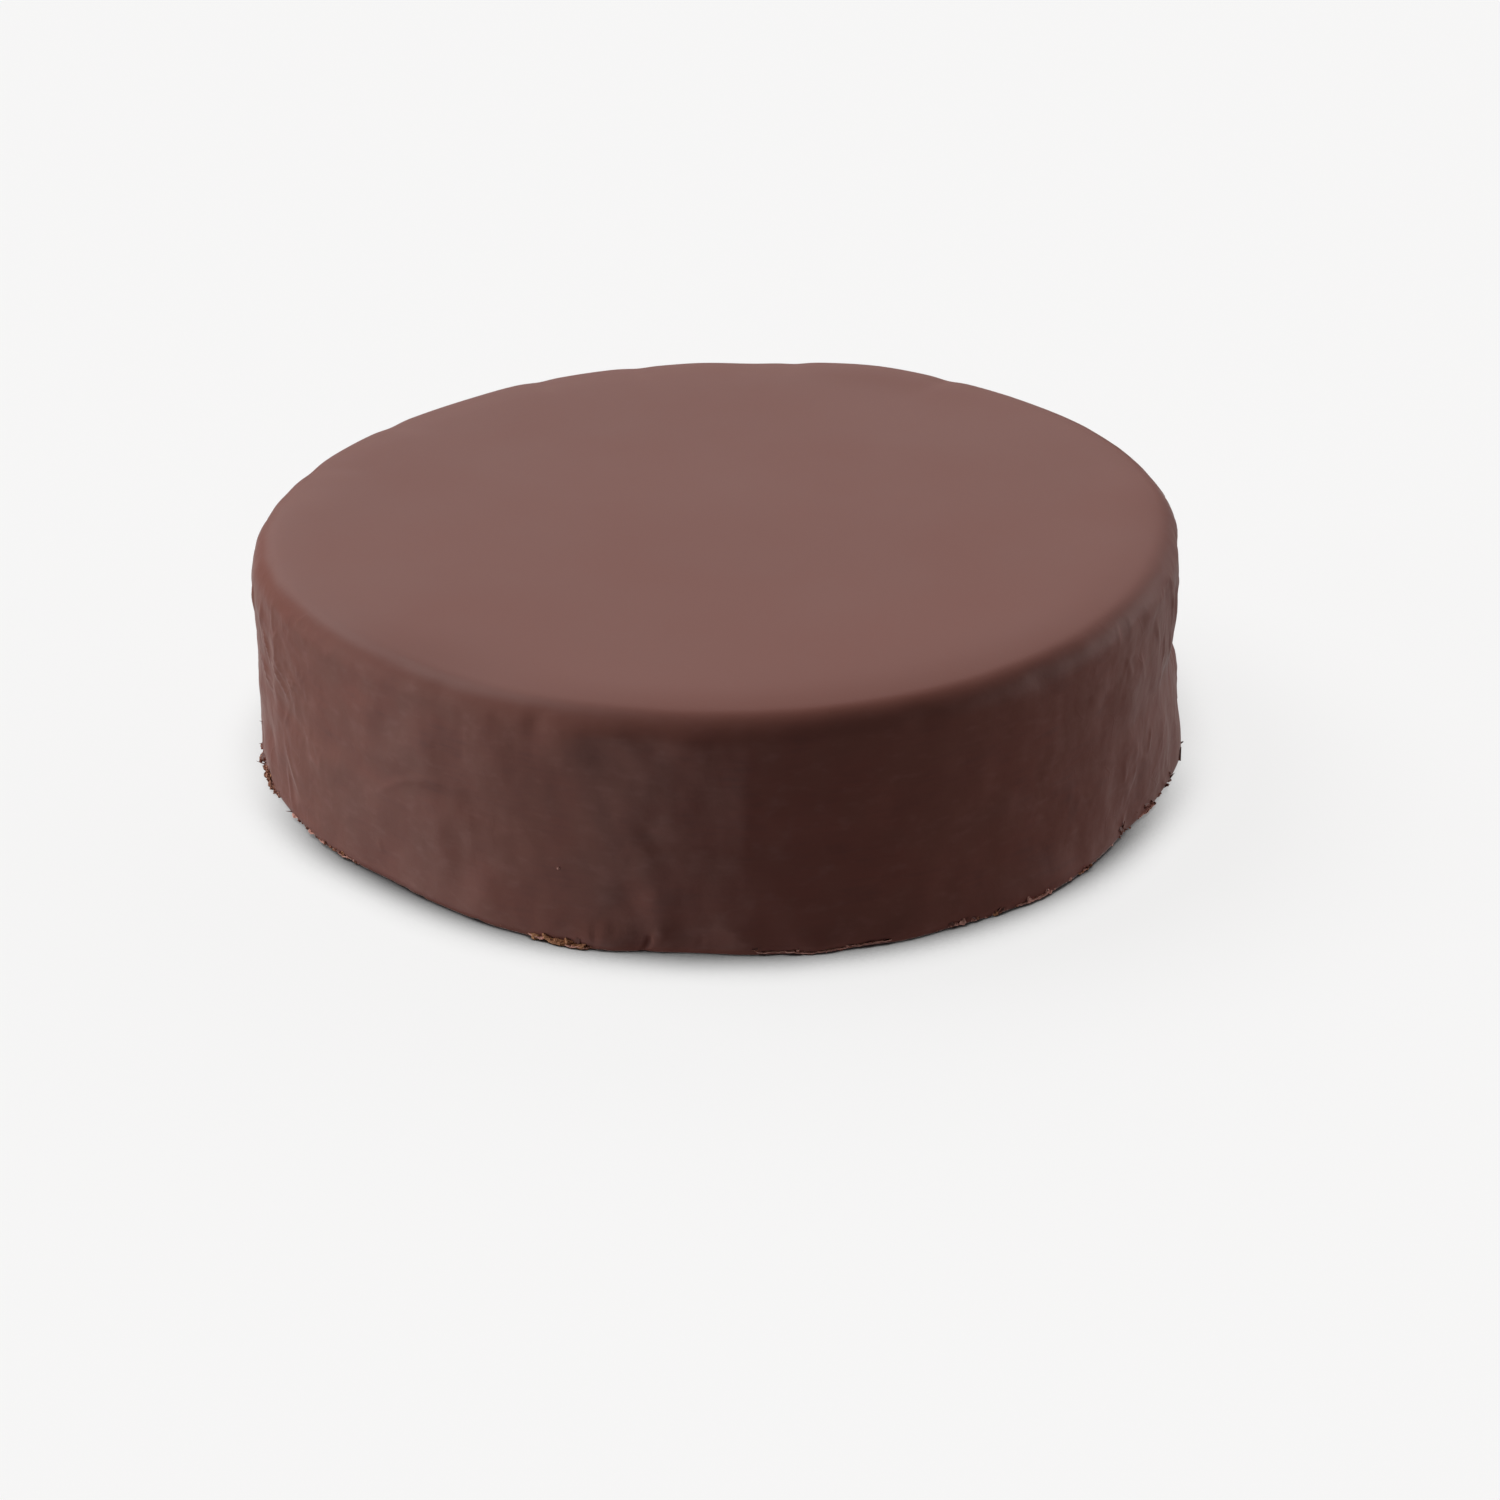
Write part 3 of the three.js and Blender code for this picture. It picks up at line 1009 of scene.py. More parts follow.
@dataclass(frozen=True)
class CreaseScatter:
    """Narrow raised lines that lie every way over a stretch of the side."""

    seed: int = 812
    angles: Span = (352.0, 545.0)
    count: int = 30
    climb: Span = (8.0, 54.0)
    length: Span = (6.0, 17.0)
    heading: Span = (20.0, 125.0)
    reach: Span = (0.15, 0.34)
    bow: Span = (-2.0, 2.0)
    spacing: Span = (0.1, 0.9)

    def scatter(self, radius: float) -> list[Crease]:
        """Draw all lines.

        Args:
            radius: The drum's radius.

        Returns:
            The lines.
        """
        draws = Draws(self.seed)
        first, last = self.angles
        creases = []
        for index in range(self.count):
            share = (index + draws.between(self.spacing)) / self.count
            angle = first + (last - first) * share
            climb = draws.between(self.climb)
            length = draws.between(self.length)
            heading = math.radians(draws.between(self.heading))
            turn = math.degrees(length * math.cos(heading) / radius)
            rise = length * math.sin(heading)
            start = (angle - turn / 2, climb - rise / 2)
            end = (angle + turn / 2, climb + rise / 2)
            creases.append(Crease(start, end, draws.between(self.reach), bow=draws.between(self.bow)))
        return creases


@dataclass(frozen=True)
class Puckered:
    """A stretch of the side where the glaze set in small folds, and how fully."""

    angle: float
    half_width: float
    share: float


PUCKERED = (
    Puckered(199, 14, 0.9),
    Puckered(338, 17, 1.0),
    Puckered(5, 14, 0.8),
    Puckered(60, 30, 0.8),
    Puckered(115, 18, 0.6),
    Puckered(160, 14, 0.7),
)


@dataclass(frozen=True)
class SideRelief:
    """Everything that lifts or sinks the skin of the side."""

    radius: float
    wall_climb: float
    rim_climb: float
    joint_climb: float = 29.5
    joint_tall: float = 3.4
    joint_depth: float = 0.35
    crumb: CrumbRelief = CrumbRelief()
    runs: GlazeRuns = GlazeRuns()
    creases: CreaseScatter = CreaseScatter()
    puckered_least: float = 0.15

    def puckers(self, turns: np.ndarray) -> np.ndarray:
        """Work out how fully the skin is puckered.

        Args:
            turns: Angles of the points, in radians.

        Returns:
            A number from 0 to 1 for each point.
        """
        share = np.full(len(turns), self.puckered_least)
        for stretch in PUCKERED:
            away = np.degrees(turned_from(turns, stretch.angle)) / stretch.half_width
            share += stretch.share * np.exp(-(away**2))
        return share.clip(0, 1)

    def heights(self, turns: np.ndarray, climbs: np.ndarray) -> np.ndarray:
        """Work out the lift of the skin.

        Args:
            turns: Angles of the points, in radians.
            climbs: Their climbs.

        Returns:
            The lift of each point. The fine marks die out over the shoulder.
        """
        over = (climbs - self.joint_climb) / self.joint_tall
        fine = -self.joint_depth * np.exp(-(over**2)) - self.crumb.settle
        marks = [*self.crumb.scatter(self.rim_climb), *self.runs.scatter()]
        marks += [*CREASES, *self.creases.scatter(self.radius)]
        for mark in marks:
            fine = fine + mark.height(turns, climbs, self.radius)
        broad = sum(mark.height(turns, climbs, self.radius) for mark in SIDE_MARKS)
        risen = np.clip((climbs - self.wall_climb) / (self.rim_climb - self.wall_climb), 0, 1)
        return fine * (1 - risen**2 * (3 - 2 * risen)) + broad


# ------------------------------------------------------------------ the glazed drum


@dataclass(frozen=True)
class PlanWave:
    """A slow wave of the plan: how many go round, how far it swings and where its crest is."""

    count: int
    swing: float
    crest: float


@dataclass(frozen=True)
class TopWave:
    """A long low wave of the top: its length, how far it swings and which way it runs."""

    length: float
    swing: float
    heading: float


@dataclass(frozen=True)
class Ring:
    """A ring of points of the skin.

    The share is how far out the ring lies on the top or the underside, and 1 on the side. The
    recess lifts it off the base, and hem is how fully it follows the torn edge of the glaze.
    """

    count: int
    climb: float
    share: float = 1.0
    recess: float = 0.0
    hem: float = 0.0
    top: bool = False


@dataclass
class GlazedDrum:
    """The glaze all over the torte: top, shoulder, side and the narrow edge that it stands on."""

    radius: float = 120.0
    height: float = 60.8
    shoulder: float = 7.7
    crown: float = 0.8
    crown_edge: float = 11.0
    foot_flare: float = 2.0
    hem_height: float = 1.3
    hem_tuck: float = 0.7
    hem_rows: int = 4
    plan_waves: tuple[PlanWave, ...] = (
        PlanWave(2, 0.6, 87),
        PlanWave(3, 1.8, 50),
        PlanWave(4, 0.6, 4),
        PlanWave(5, 0.3, 37),
    )
    top_waves: tuple[TopWave, ...] = (
        TopWave(168, 0.12, 25),
        TopWave(104, 0.1, 118),
        TopWave(71, 0.06, 71),
    )
    blend_share: float = 0.84
    points_round: int = 1200
    row_pitch: float = 0.95
    rim_shares: tuple[float, ...] = (0.99, 0.975, 0.96, 0.945, 0.925, 0.905)
    top_pitch: float = 0.05
    top_gap: float = 0.03
    top_middle: float = 0.02
    under_shares: Span = (0.5, 0.9)
    under_rim: float = 0.97
    edge_width: float = 1.4
    recess: float = 1.5
    fade_turn: Span = (0.2, 1.3)
    fade_hems: float = 3.0
    pebble_size: float = 8.0
    pebble_reach: float = 0.2
    ripple_size: float = 3.0
    ripple_reach: float = 0.05
    ripple_scale: tuple[float, float, float] = (0.22, 0.22, 1.0)
    fold_size: float = 8.0
    fold_width: float = 1.5
    fold_reach: float = 0.3
    fold_drift: float = 3.2
    fold_spread: float = 24.0
    fold_bend: float = 1.3
    fold_scale: tuple[float, float, float] = (1.0, 1.0, 1.2)
    fold_share: Span = (-0.25, 0.3)
    break_size: float = 0.8
    break_range: Span = (-0.1, 0.4)
    hollow_range: Span = (0.8, 0.45)
    hollow_share: float = 0.55
    tear_size: float = 4.6
    tear_reach: float = 1.0
    tear_least: float = 0.1
    seed: int = 11
    side_points: np.ndarray = field(init=False, repr=False)
    side_climbs: np.ndarray = field(init=False, repr=False)

    @property
    def wall_climb(self) -> float:
        """Where the side starts to turn in over the shoulder."""
        return self.height - self.shoulder

    @property
    def rim_climb(self) -> float:
        """Where the shoulder ends and the top starts."""
        return self.wall_climb + self.shoulder * (math.pi / 2 - math.atan(2 * self.crown / self.crown_edge))

    def rings(self) -> list[Ring]:
        """List the rings of the skin, from the middle of the base over the side to the top.

        Returns:
            The rings in order.
        """
        count = self.points_round
        inner = 1 - self.edge_width / self.radius
        near, far = self.under_shares
        under = [Ring(1, 0, 0, self.recess), Ring(count // 8, 0, near, self.recess)]
        under += [Ring(count // 4, 0, far, self.recess), Ring(count // 2, 0, self.under_rim, self.recess)]
        under += [Ring(count, 0, inner, self.recess), Ring(count, 0, inner, 0, 1)]
        hem_steps = np.linspace(0, self.hem_height, self.hem_rows)
        side = [Ring(count, climb, hem=1 - climb / self.hem_height) for climb in hem_steps]
        rows = round((self.rim_climb - self.hem_height) / self.row_pitch)
        side += [Ring(count, climb) for climb in np.linspace(self.hem_height, self.rim_climb, rows + 1)[1:]]
        top = [Ring(count // 2, self.rim_climb, share, top=True) for share in self.rim_shares]
        shares = np.arange(self.rim_shares[-1] - self.top_gap, self.top_pitch, -self.top_pitch)
        top += [Ring(count // 4, self.rim_climb, share, top=True) for share in shares]
        top.append(Ring(count // 8, self.rim_climb, self.top_middle, top=True))
        top.append(Ring(1, self.rim_climb, 0, top=True))
        return under + side + top

    def flat_skin(self) -> bpy.types.Mesh:
        """Make the closed skin as a plain tube whose points know where they belong.

        Returns:
            The mesh, with each point's turn, climb, share, recess, hem, top, relief and pucker.
        """
        relief = SideRelief(self.radius, self.wall_climb, self.rim_climb)
        rings = self.rings()
        counts = np.array([ring.count for ring in rings])
        starts = np.concatenate([[0], np.cumsum(counts)])
        turns = np.concatenate([np.arange(count) * 2 * math.pi / count for count in counts])
        spread = {
            name: np.repeat([float(getattr(ring, name)) for ring in rings], counts)
            for name in ("climb", "share", "recess", "hem", "top")
        }
        climbs = spread["climb"]
        tube = np.stack([self.radius * np.cos(turns), self.radius * np.sin(turns), climbs], axis=1)
        numbers = [np.arange(start, start + count) for start, count in zip(starts, counts)]
        faces = [stitch(first, second) for first, second in zip(numbers, numbers[1:])]
        mesh = bpy.data.meshes.new("flat_skin")
        mesh.from_pydata(tube * MM, [], np.concatenate(faces))
        add_attribute(mesh, "turn", turns)
        add_attribute(mesh, "climb", climbs * MM)
        add_attribute(mesh, "recess", spread["recess"] * MM)
        add_attribute(mesh, "relief", relief.heights(turns, climbs) * MM)
        add_attribute(mesh, "pucker", relief.puckers(turns))
        for name in ("share", "hem", "top"):
            add_attribute(mesh, name, spread[name])
        return mesh

    def recipe(self) -> Recipe:
        """Build the tree that rolls the tube up into the drum.

        Returns:
            The recipe.
        """
        made = Recipe("GlazedDrum")
        graph = made.graph
        radius = made.size("Cake Radius", self.radius * MM)
        height = made.size("Cake Height", self.height * MM)
        shoulder = made.size("Shoulder Radius", self.shoulder * MM)
        crown = made.size("Crown", self.crown * MM)
        crown_edge = made.size("Crown Edge", self.crown_edge * MM)
        flare = made.size("Foot Flare", self.foot_flare * MM)
        hem_height = made.size("Hem Height", self.hem_height * MM)
        tuck = made.size("Hem Tuck", self.hem_tuck * MM)
        pebble_size = made.size("Pebble Size", self.pebble_size * MM)
        pebble_reach = made.size("Pebble Reach", self.pebble_reach * MM)
        ripple_size = made.size("Ripple Size", self.ripple_size * MM)
        ripple_reach = made.size("Ripple Reach", self.ripple_reach * MM)
        tear_size = made.size("Tear Size", self.tear_size * MM)
        tear_reach = made.size("Tear Reach", self.tear_reach * MM)
        turn = made.attribute("turn")
        climb = made.attribute("climb")
        share = made.attribute("share")
        spot = made.seeded_place(self.seed)

        wall_climb = height - shoulder
        turned = (climb - wall_climb).at_least(0.0) / shoulder
        risen = climb.at_most(wall_climb)
        tucked = tuck * (1.0 - climb / hem_height).at_least(0.0)
        flared = flare * (1.0 - risen / wall_climb)
        inset = tucked - flared + shoulder * (1.0 - turned.cos())
        fade = 1.0 - graph.smooth_rise(turned, *self.fade_turn)
        foot_fade = graph.smooth_rise(climb, 0.0, hem_height * self.fade_hems)
        pebbles = graph.noise(spot, pebble_size, 1.0) * pebble_reach
        ripple_spot = graph.stretched(spot, self.ripple_scale)
        ripples = graph.noise(ripple_spot, ripple_size, 2.0) * ripple_reach
        folds = self._folds(made, spot)
        lift = made.attribute("relief") + (pebbles + ripples + folds) * fade * foot_fade

        plan = radius
        for wave in self.plan_waves:
            swing = (turn - math.radians(wave.crest)) * float(wave.count)
            plan = plan + swing.cos() * (wave.swing * MM)
        reach = (plan - inset + lift * turned.cos()) * share
        tear = graph.noise(graph.stretched(spot, (1.0, 1.0, 0.0)), tear_size, 2.0)
        torn = (tear - self.tear_least).at_least(0.0) * made.attribute("hem") * tear_reach
        level = risen + shoulder * turned.sin() + lift * turned.sin() + torn + made.attribute("recess")
        x = reach * turn.cos()
        y = reach * turn.sin()
        even = height
        for wave in self.top_waves:
            heading = math.radians(wave.heading)
            along = x * math.cos(heading) + y * math.sin(heading)
            even = even + (along * (2 * math.pi / (wave.length * MM))).cos() * (wave.swing * MM)
        evened = made.attribute("top") * (1.0 - graph.smooth_rise(share, self.blend_share, 1.0))
        edge = (1.0 - (1.0 - share) * radius / crown_edge).at_least(0.0)
        level = level + (even - level) * evened + crown * (1.0 - edge * edge) * made.attribute("top")
        inputs = {0: made.entry.outputs[0], "Position": made.vector(x, y, level)}
        made.close(graph.add("GeometryNodeSetPosition", inputs).outputs[0])
        return made

    def _folds(self, made: Recipe, spot: bpy.types.NodeSocket) -> Term:
        """Work out the small folds of the glaze: crooked ridges with shallow hollows between them.

        Args:
            made: The drum's recipe.
            spot: The place of each point on the tube.

        Returns:
            The lift of each point, in metres.
        """
        graph = made.graph
        fold_size = made.size("Fold Size", self.fold_size * MM)
        fold_width = made.size("Fold Width", self.fold_width * MM)
        fold_reach = made.size("Fold Reach", self.fold_reach * MM)
        fold_drift = made.size("Fold Drift", self.fold_drift * MM)
        fold_spread = made.size("Fold Spread", self.fold_spread * MM)
        crooked = graph.moved(spot, graph.sway(spot, fold_size * self.fold_bend, fold_drift))
        away = graph.border(graph.stretched(crooked, self.fold_scale), fold_size)
        ridges = 1.0 - graph.smooth_rise(away, 0.0, fold_width)
        # A hollow starts a share of the fold's width away, and is full a share of its size away.
        near, far = self.hollow_range
        hollows = graph.smooth_rise(away, fold_width * near, fold_size * far)
        some = graph.smooth_rise(graph.noise(spot, fold_spread, 1.0), *self.fold_share)
        breaks = graph.noise(spot, fold_size * self.break_size, 1.0)
        folded = ridges * graph.smooth_rise(breaks, *self.break_range) - hollows * self.hollow_share
        return folded * fold_reach * some * made.attribute("pucker")

    def build(self, finish: bpy.types.Material) -> bpy.types.Mesh:
        """Make the drum about its own axis.

        Args:
            finish: The glaze.

        Returns:
            The mesh, in metres.
        """
        mesh = self.recipe().bake(self.flat_skin(), finish)
        self._keep_side(mesh)
        climbs = np.empty(len(mesh.vertices), np.float32)
        mesh.attributes["climb"].data.foreach_get("value", climbs)
        risen = np.clip((climbs / MM - self.wall_climb) / (self.rim_climb - self.wall_climb), 0, 1)
        add_attribute(mesh, "side", 1 - risen)
        return mesh

    def _keep_side(self, mesh: bpy.types.Mesh) -> None:
        """Keep the rows of the side, so that what lies at the foot can find the wall.

        Args:
            mesh: The finished skin.
        """
        rings = self.rings()
        first = next(index for index, ring in enumerate(rings) if ring.share == 1)
        last = max(index for index, ring in enumerate(rings) if ring.share == 1)
        start = sum(ring.count for ring in rings[:first])
        rows = last - first + 1
        points = points_of(mesh)[start : start + rows * self.points_round] / MM
        self.side_points = points.reshape(rows, self.points_round, 3)
        self.side_climbs = np.array([ring.climb for ring in rings[first : last + 1]])

    def wall(self, angle: float, climb: float) -> float:
        """Find how far the wall is from the drum's axis.

        Args:
            angle: Which way to look.
            climb: How far up the skin.

        Returns:
            The distance.
        """
        column = round(angle / 360 * self.points_round) % self.points_round
        reach = np.hypot(self.side_points[:, column, 0], self.side_points[:, column, 1])
        return float(np.interp(climb, self.side_climbs, reach))


# ------------------------------------------------------------------ chips along the foot


@dataclass(frozen=True)
class Stretch:
    """A stretch of the foot and the chips that lie along it."""

    start: float
    end: float
    chips: int
    broad: Span
    stand_out: Span
    rise: Span
    matter: Matter = Matter.GLAZE
    tilt: Span = (15.0, 80.0)


@dataclass(frozen=True)
class Chip:
    """One chip of set glaze: its place, its outline and how it is turned."""

    angle: float
    broad: float
    stand_out: float
    rise: float
    thick: float
    corners: tuple[tuple[float, float], ...]
    spin: float
    tip: float
    tilt: float
    matter: Matter


@dataclass
class BrokenHem:
    """The chips of glaze and crust that stand out along the foot."""

    drum: GlazedDrum
    seed: int = 90210
    stretches: tuple[Stretch, ...] = (
        Stretch(186, 192, 4, (2.4, 4.2), (0.8, 2.0), (1.0, 5.5)),
        Stretch(193, 199, 4, (1.8, 3.0), (0.3, 0.9), (0.9, 3.0)),
        Stretch(210, 219, 4, (1.8, 3.2), (0.3, 0.8), (0.7, 1.6)),
        Stretch(247, 254, 5, (3.0, 4.8), (1.2, 2.2), (0.5, 1.0), Matter.CRUST, (2.0, 12.0)),
        Stretch(275, 290, 7, (2.4, 4.6), (0.2, 0.7), (0.7, 1.4)),
        Stretch(293, 309, 5, (1.8, 3.0), (0.3, 0.9), (0.7, 1.6)),
        Stretch(324, 342, 6, (2.2, 4.0), (0.4, 1.2), (0.9, 4.5)),
        Stretch(0, 360, 22, (1.8, 3.8), (0.2, 0.9), (0.7, 2.4)),
    )
    corners: int = 5
    thick: Span = (0.6, 1.1)
    clear: float = 0.15
    splits: int = 3
    bevel: float = 0.84
    ragged: float = 0.1
    spacing: Span = (0.15, 0.85)
    tips: Span = (-0.35, 0.35)
    corner_drift: Span = (-0.25, 0.25)
    corner_reach: Span = (0.75, 1.15)
    curl: float = 0.3
    broken: tuple[float, ...] = (0.0, 0.3, 1.0, 0.3, 0.0)

    def draw_chips(self) -> list[Chip]:
        """Draw every chip.

        Returns:
            The chips in the order in which they were drawn.
        """
        draws = Draws(self.seed)
        chips = []
        for stretch in self.stretches:
            for index in range(stretch.chips):
                share = (index + draws.between(self.spacing)) / stretch.chips
                angle = stretch.start + (stretch.end - stretch.start) * share
                broad = draws.between(stretch.broad)
                stand_out = draws.between(stretch.stand_out)
                rise = draws.between(stretch.rise)
                thick = draws.between(self.thick)
                corners = tuple(self._corner(draws, corner, broad) for corner in range(self.corners))
                spin = draws.between((0, 2 * math.pi))
                tip = draws.between(self.tips)
                tilt = math.radians(draws.between(stretch.tilt))
                place = (angle, broad, stand_out, rise, thick)
                chips.append(Chip(*place, corners, spin, tip, tilt, stretch.matter))
        return chips

    def _corner(self, draws: Draws, corner: int, broad: float) -> tuple[float, float]:
        """Draw one corner of a chip's outline.

        Args:
            draws: Where the numbers come from.
            corner: Which corner it is.
            broad: The chip's breadth.

        Returns:
            The corner, from the chip's middle.
        """
        around = (corner + draws.between(self.corner_drift)) * 2 * math.pi / self.corners
        reach = broad / 2 * draws.between(self.corner_reach)
        return reach * math.cos(around), reach * math.sin(around)

    def chip_shape(self, chip: Chip, rng: np.random.Generator) -> tuple[np.ndarray, np.ndarray, np.ndarray]:
        """Make a chip: an uneven flat polygon with a ragged, bevelled rim.

        Args:
            chip: The chip.
            rng: Where the raggedness of its rim comes from.

        Returns:
            Its points, its triangles and how much of a broken edge each point is.
        """
        corners = np.array(chip.corners)
        rim = []
        for here, after in zip(corners, np.roll(corners, -1, axis=0)):
            for step in range(self.splits):
                nudge = rng.uniform(-self.ragged, self.ragged, 2) * chip.broad * (step > 0)
                rim.append(here + (after - here) * step / self.splits + nudge)
        rim = np.array(rim)
        count = len(rim)
        half = chip.thick / 2
        curl = rng.uniform(-self.curl, self.curl) / chip.broad
        layers = [(rim * 0, -half), (rim * self.bevel, -half), (rim, 0.0), (rim * self.bevel, half)]
        layers.append((rim * 0, half))
        rings = []
        for flat, level in layers:
            bend = curl * (flat**2).sum(axis=1)
            rings.append(np.column_stack([flat, level + bend]))
        rings[0] = rings[0][:1]
        rings[-1] = rings[-1][:1]
        points = np.concatenate(rings)
        starts = np.cumsum([0, 1, count, count, count])
        numbers = [np.arange(start, start + len(ring)) for start, ring in zip(starts, rings)]
        faces = np.concatenate([stitch(first, second) for first, second in zip(numbers, numbers[1:])])
        edge = np.concatenate([np.full(len(ring), share) for ring, share in zip(rings, self.broken)])
        return self._set_down(points, chip), faces, edge

    def _set_down(self, points: np.ndarray, chip: Chip) -> np.ndarray:
        """Turn a chip and set it against the wall, clear of what the torte stands on.

        Args:
            points: The chip's points about its own middle.
            chip: The chip.

        Returns:
            The points in their place at the foot.
        """
        turned = Matrix.Rotation(chip.tilt, 3, "Y") @ Matrix.Rotation(chip.tip, 3, "X")
        turned = turned @ Matrix.Rotation(chip.spin, 3, "Z")
        placed = points @ np.array(turned).T
        placed[:, 0] += self.drum.wall(chip.angle, chip.rise) + chip.stand_out - chip.broad / 2
        placed[:, 2] += chip.rise
        placed = placed @ np.array(Matrix.Rotation(math.radians(chip.angle), 3, "Z")).T
        placed[:, 2] += max(0.0, self.clear - placed[:, 2].min())
        return placed

    def build(self, finishes: dict[Matter, bpy.types.Material]) -> dict[Matter, bpy.types.Mesh]:
        """Make the chips, one mesh for each kind of matter.

        Args:
            finishes: The material of each kind.

        Returns:
            The meshes, in metres, about the drum's own axis.
        """
        rng = np.random.default_rng(self.seed)
        parcels = {matter: Parcel() for matter in Matter}
        for chip in self.draw_chips():
            parcels[chip.matter].add(*self.chip_shape(chip, rng))
        meshes = {matter: parcel.mesh(f"{matter.value}_chips") for matter, parcel in parcels.items()}
        for matter, mesh in meshes.items():
            mesh.materials.append(finishes[matter])
        return meshes


# ------------------------------------------------------------------ torn lips of glaze


@dataclass(frozen=True)
class Lip:
    """A thin strip of glaze or crust along the foot: where it runs and how far it stands out."""

    start: float
    end: float
    climb: float
    stand_out: float


GLAZE_LIPS = (
    Lip(272.8, 276.2, 0.9, 0.15),
    Lip(275.9, 277.9, 1.0, 0.5),
    Lip(277.6, 279.8, 0.5, 0.35),
    Lip(279.4, 283.2, 0.8, 0.3),
    Lip(282.6, 287.6, 1.1, 0.45),
    Lip(304.0, 309.0, 0.9, 0.4),
    Lip(246.8, 249.4, 0.9, 0.8),
    Lip(250.9, 254.2, 0.6, 1.5),
    Lip(330.0, 334.5, 1.0, 0.4),
    Lip(203.6, 205.0, 1.1, 0.4),
    Lip(208.4, 210.0, 1.1, 0.4),
    Lip(211.4, 212.6, 0.9, 0.35),
    Lip(215.4, 217.6, 0.8, 0.45),
    Lip(22.0, 27.5, 0.8, 0.35),
    Lip(44.0, 47.5, 0.7, 0.4),
    Lip(71.0, 80.0, 0.9, 0.4),
    Lip(103.0, 107.0, 0.8, 0.3),
    Lip(131.0, 137.0, 0.8, 0.35),
    Lip(158.0, 162.5, 0.9, 0.4),
)
CRUST_STRIPS = (
    Lip(249.2, 252.0, 0.7, 1.4),
    Lip(251.4, 254.2, 0.5, 1.1),
    Lip(93.0, 98.0, 0.9, 1.3),
    Lip(21.0, 24.5, 0.9, 1.2),
)


@dataclass
class TornLips:
    """Thin ragged strips that were squeezed out at the foot and tore."""

    drum: GlazedDrum
    lips: tuple[Lip, ...]
    width: float = 0.9
    thick: float = 0.2
    tear_size: float = 1.5
    tear_reach: float = 0.55
    root: float = 0.1
    cover: float = 0.2
    snapped: float = 0.7
    pitch: float = 0.5
    seed: int = 5

    def paths(self) -> bpy.types.Mesh:
        """Lay the middle line of every strip along the wall.

        Returns:
            A mesh of points and edges.
        """
        points = []
        edges = []
        degrees = math.degrees(self.pitch / self.drum.radius)
        for lip in self.lips:
            steps = max(3, round((lip.end - lip.start) / degrees))
            for step in range(steps + 1):
                share = step / steps
                angle = lip.start + (lip.end - lip.start) * share
                swell = math.sin(math.pi * share) ** 0.5
                sunk = self.width / 2 - self.root
                reach = self.drum.wall(angle, lip.climb) + (lip.stand_out + self.cover) * swell - sunk
                points.append(place_at(angle, reach, lip.climb))
                if step:
                    edges.append((len(points) - 2, len(points) - 1))
        mesh = bpy.data.meshes.new("lip_paths")
        mesh.from_pydata(np.array(points) * MM, edges, [])
        return mesh

    def recipe(self) -> Recipe:
        """Build the tree that turns each line into a ragged strip.

        Returns:
            The recipe.
        """
        made = Recipe("TornLips")
        graph = made.graph
        width = made.size("Lip Width", self.width * MM)
        thick = made.size("Lip Thickness", self.thick * MM)
        tear_size = made.size("Tear Size", self.tear_size * MM)
        tear_reach = made.size("Tear Reach", self.tear_reach * MM)
        spot = made.seeded_place(self.seed)
        curve = graph.add("GeometryNodeMeshToCurve", {0: made.entry.outputs[0]})
        upright = graph.add("GeometryNodeSetCurveNormal", {0: curve.outputs[0]}, mode="Z_UP")
        profile = graph.add("GeometryNodeCurvePrimitiveQuadrilateral", {"Width": width, "Height": thick})
        inputs = {"Curve": upright.outputs[0], "Profile Curve": profile.outputs[0], "Fill Caps": True}
        strip = graph.add("GeometryNodeCurveToMesh", inputs)
        torn = graph.sway(spot, tear_size, tear_reach)
        moved = graph.add("GeometryNodeSetPosition", {0: strip.outputs[0], "Offset": torn})
        made.close(moved.outputs[0])
        return made

    def build(self, finish: bpy.types.Material) -> bpy.types.Mesh:
        """Make the strips.

        Args:
            finish: The broken glaze.

        Returns:
            The mesh, in metres, about the drum's own axis.
        """
        mesh = self.recipe().bake(self.paths(), finish)
        add_attribute(mesh, "edge", np.full(len(mesh.vertices), self.snapped))
        return mesh


# ------------------------------------------------------------------ splinters of glaze


@dataclass(frozen=True)
class Splinter:
    """A thin pointed splinter of glaze: where it starts, its length and how it is turned.

    The swing turns it round the drum from pointing straight out, and the tip lifts it. The width
    is half its breadth at the root.
    """

    angle: float
    climb: float
    length: float
    swing: float
    tip: float
    width: float = 0.34


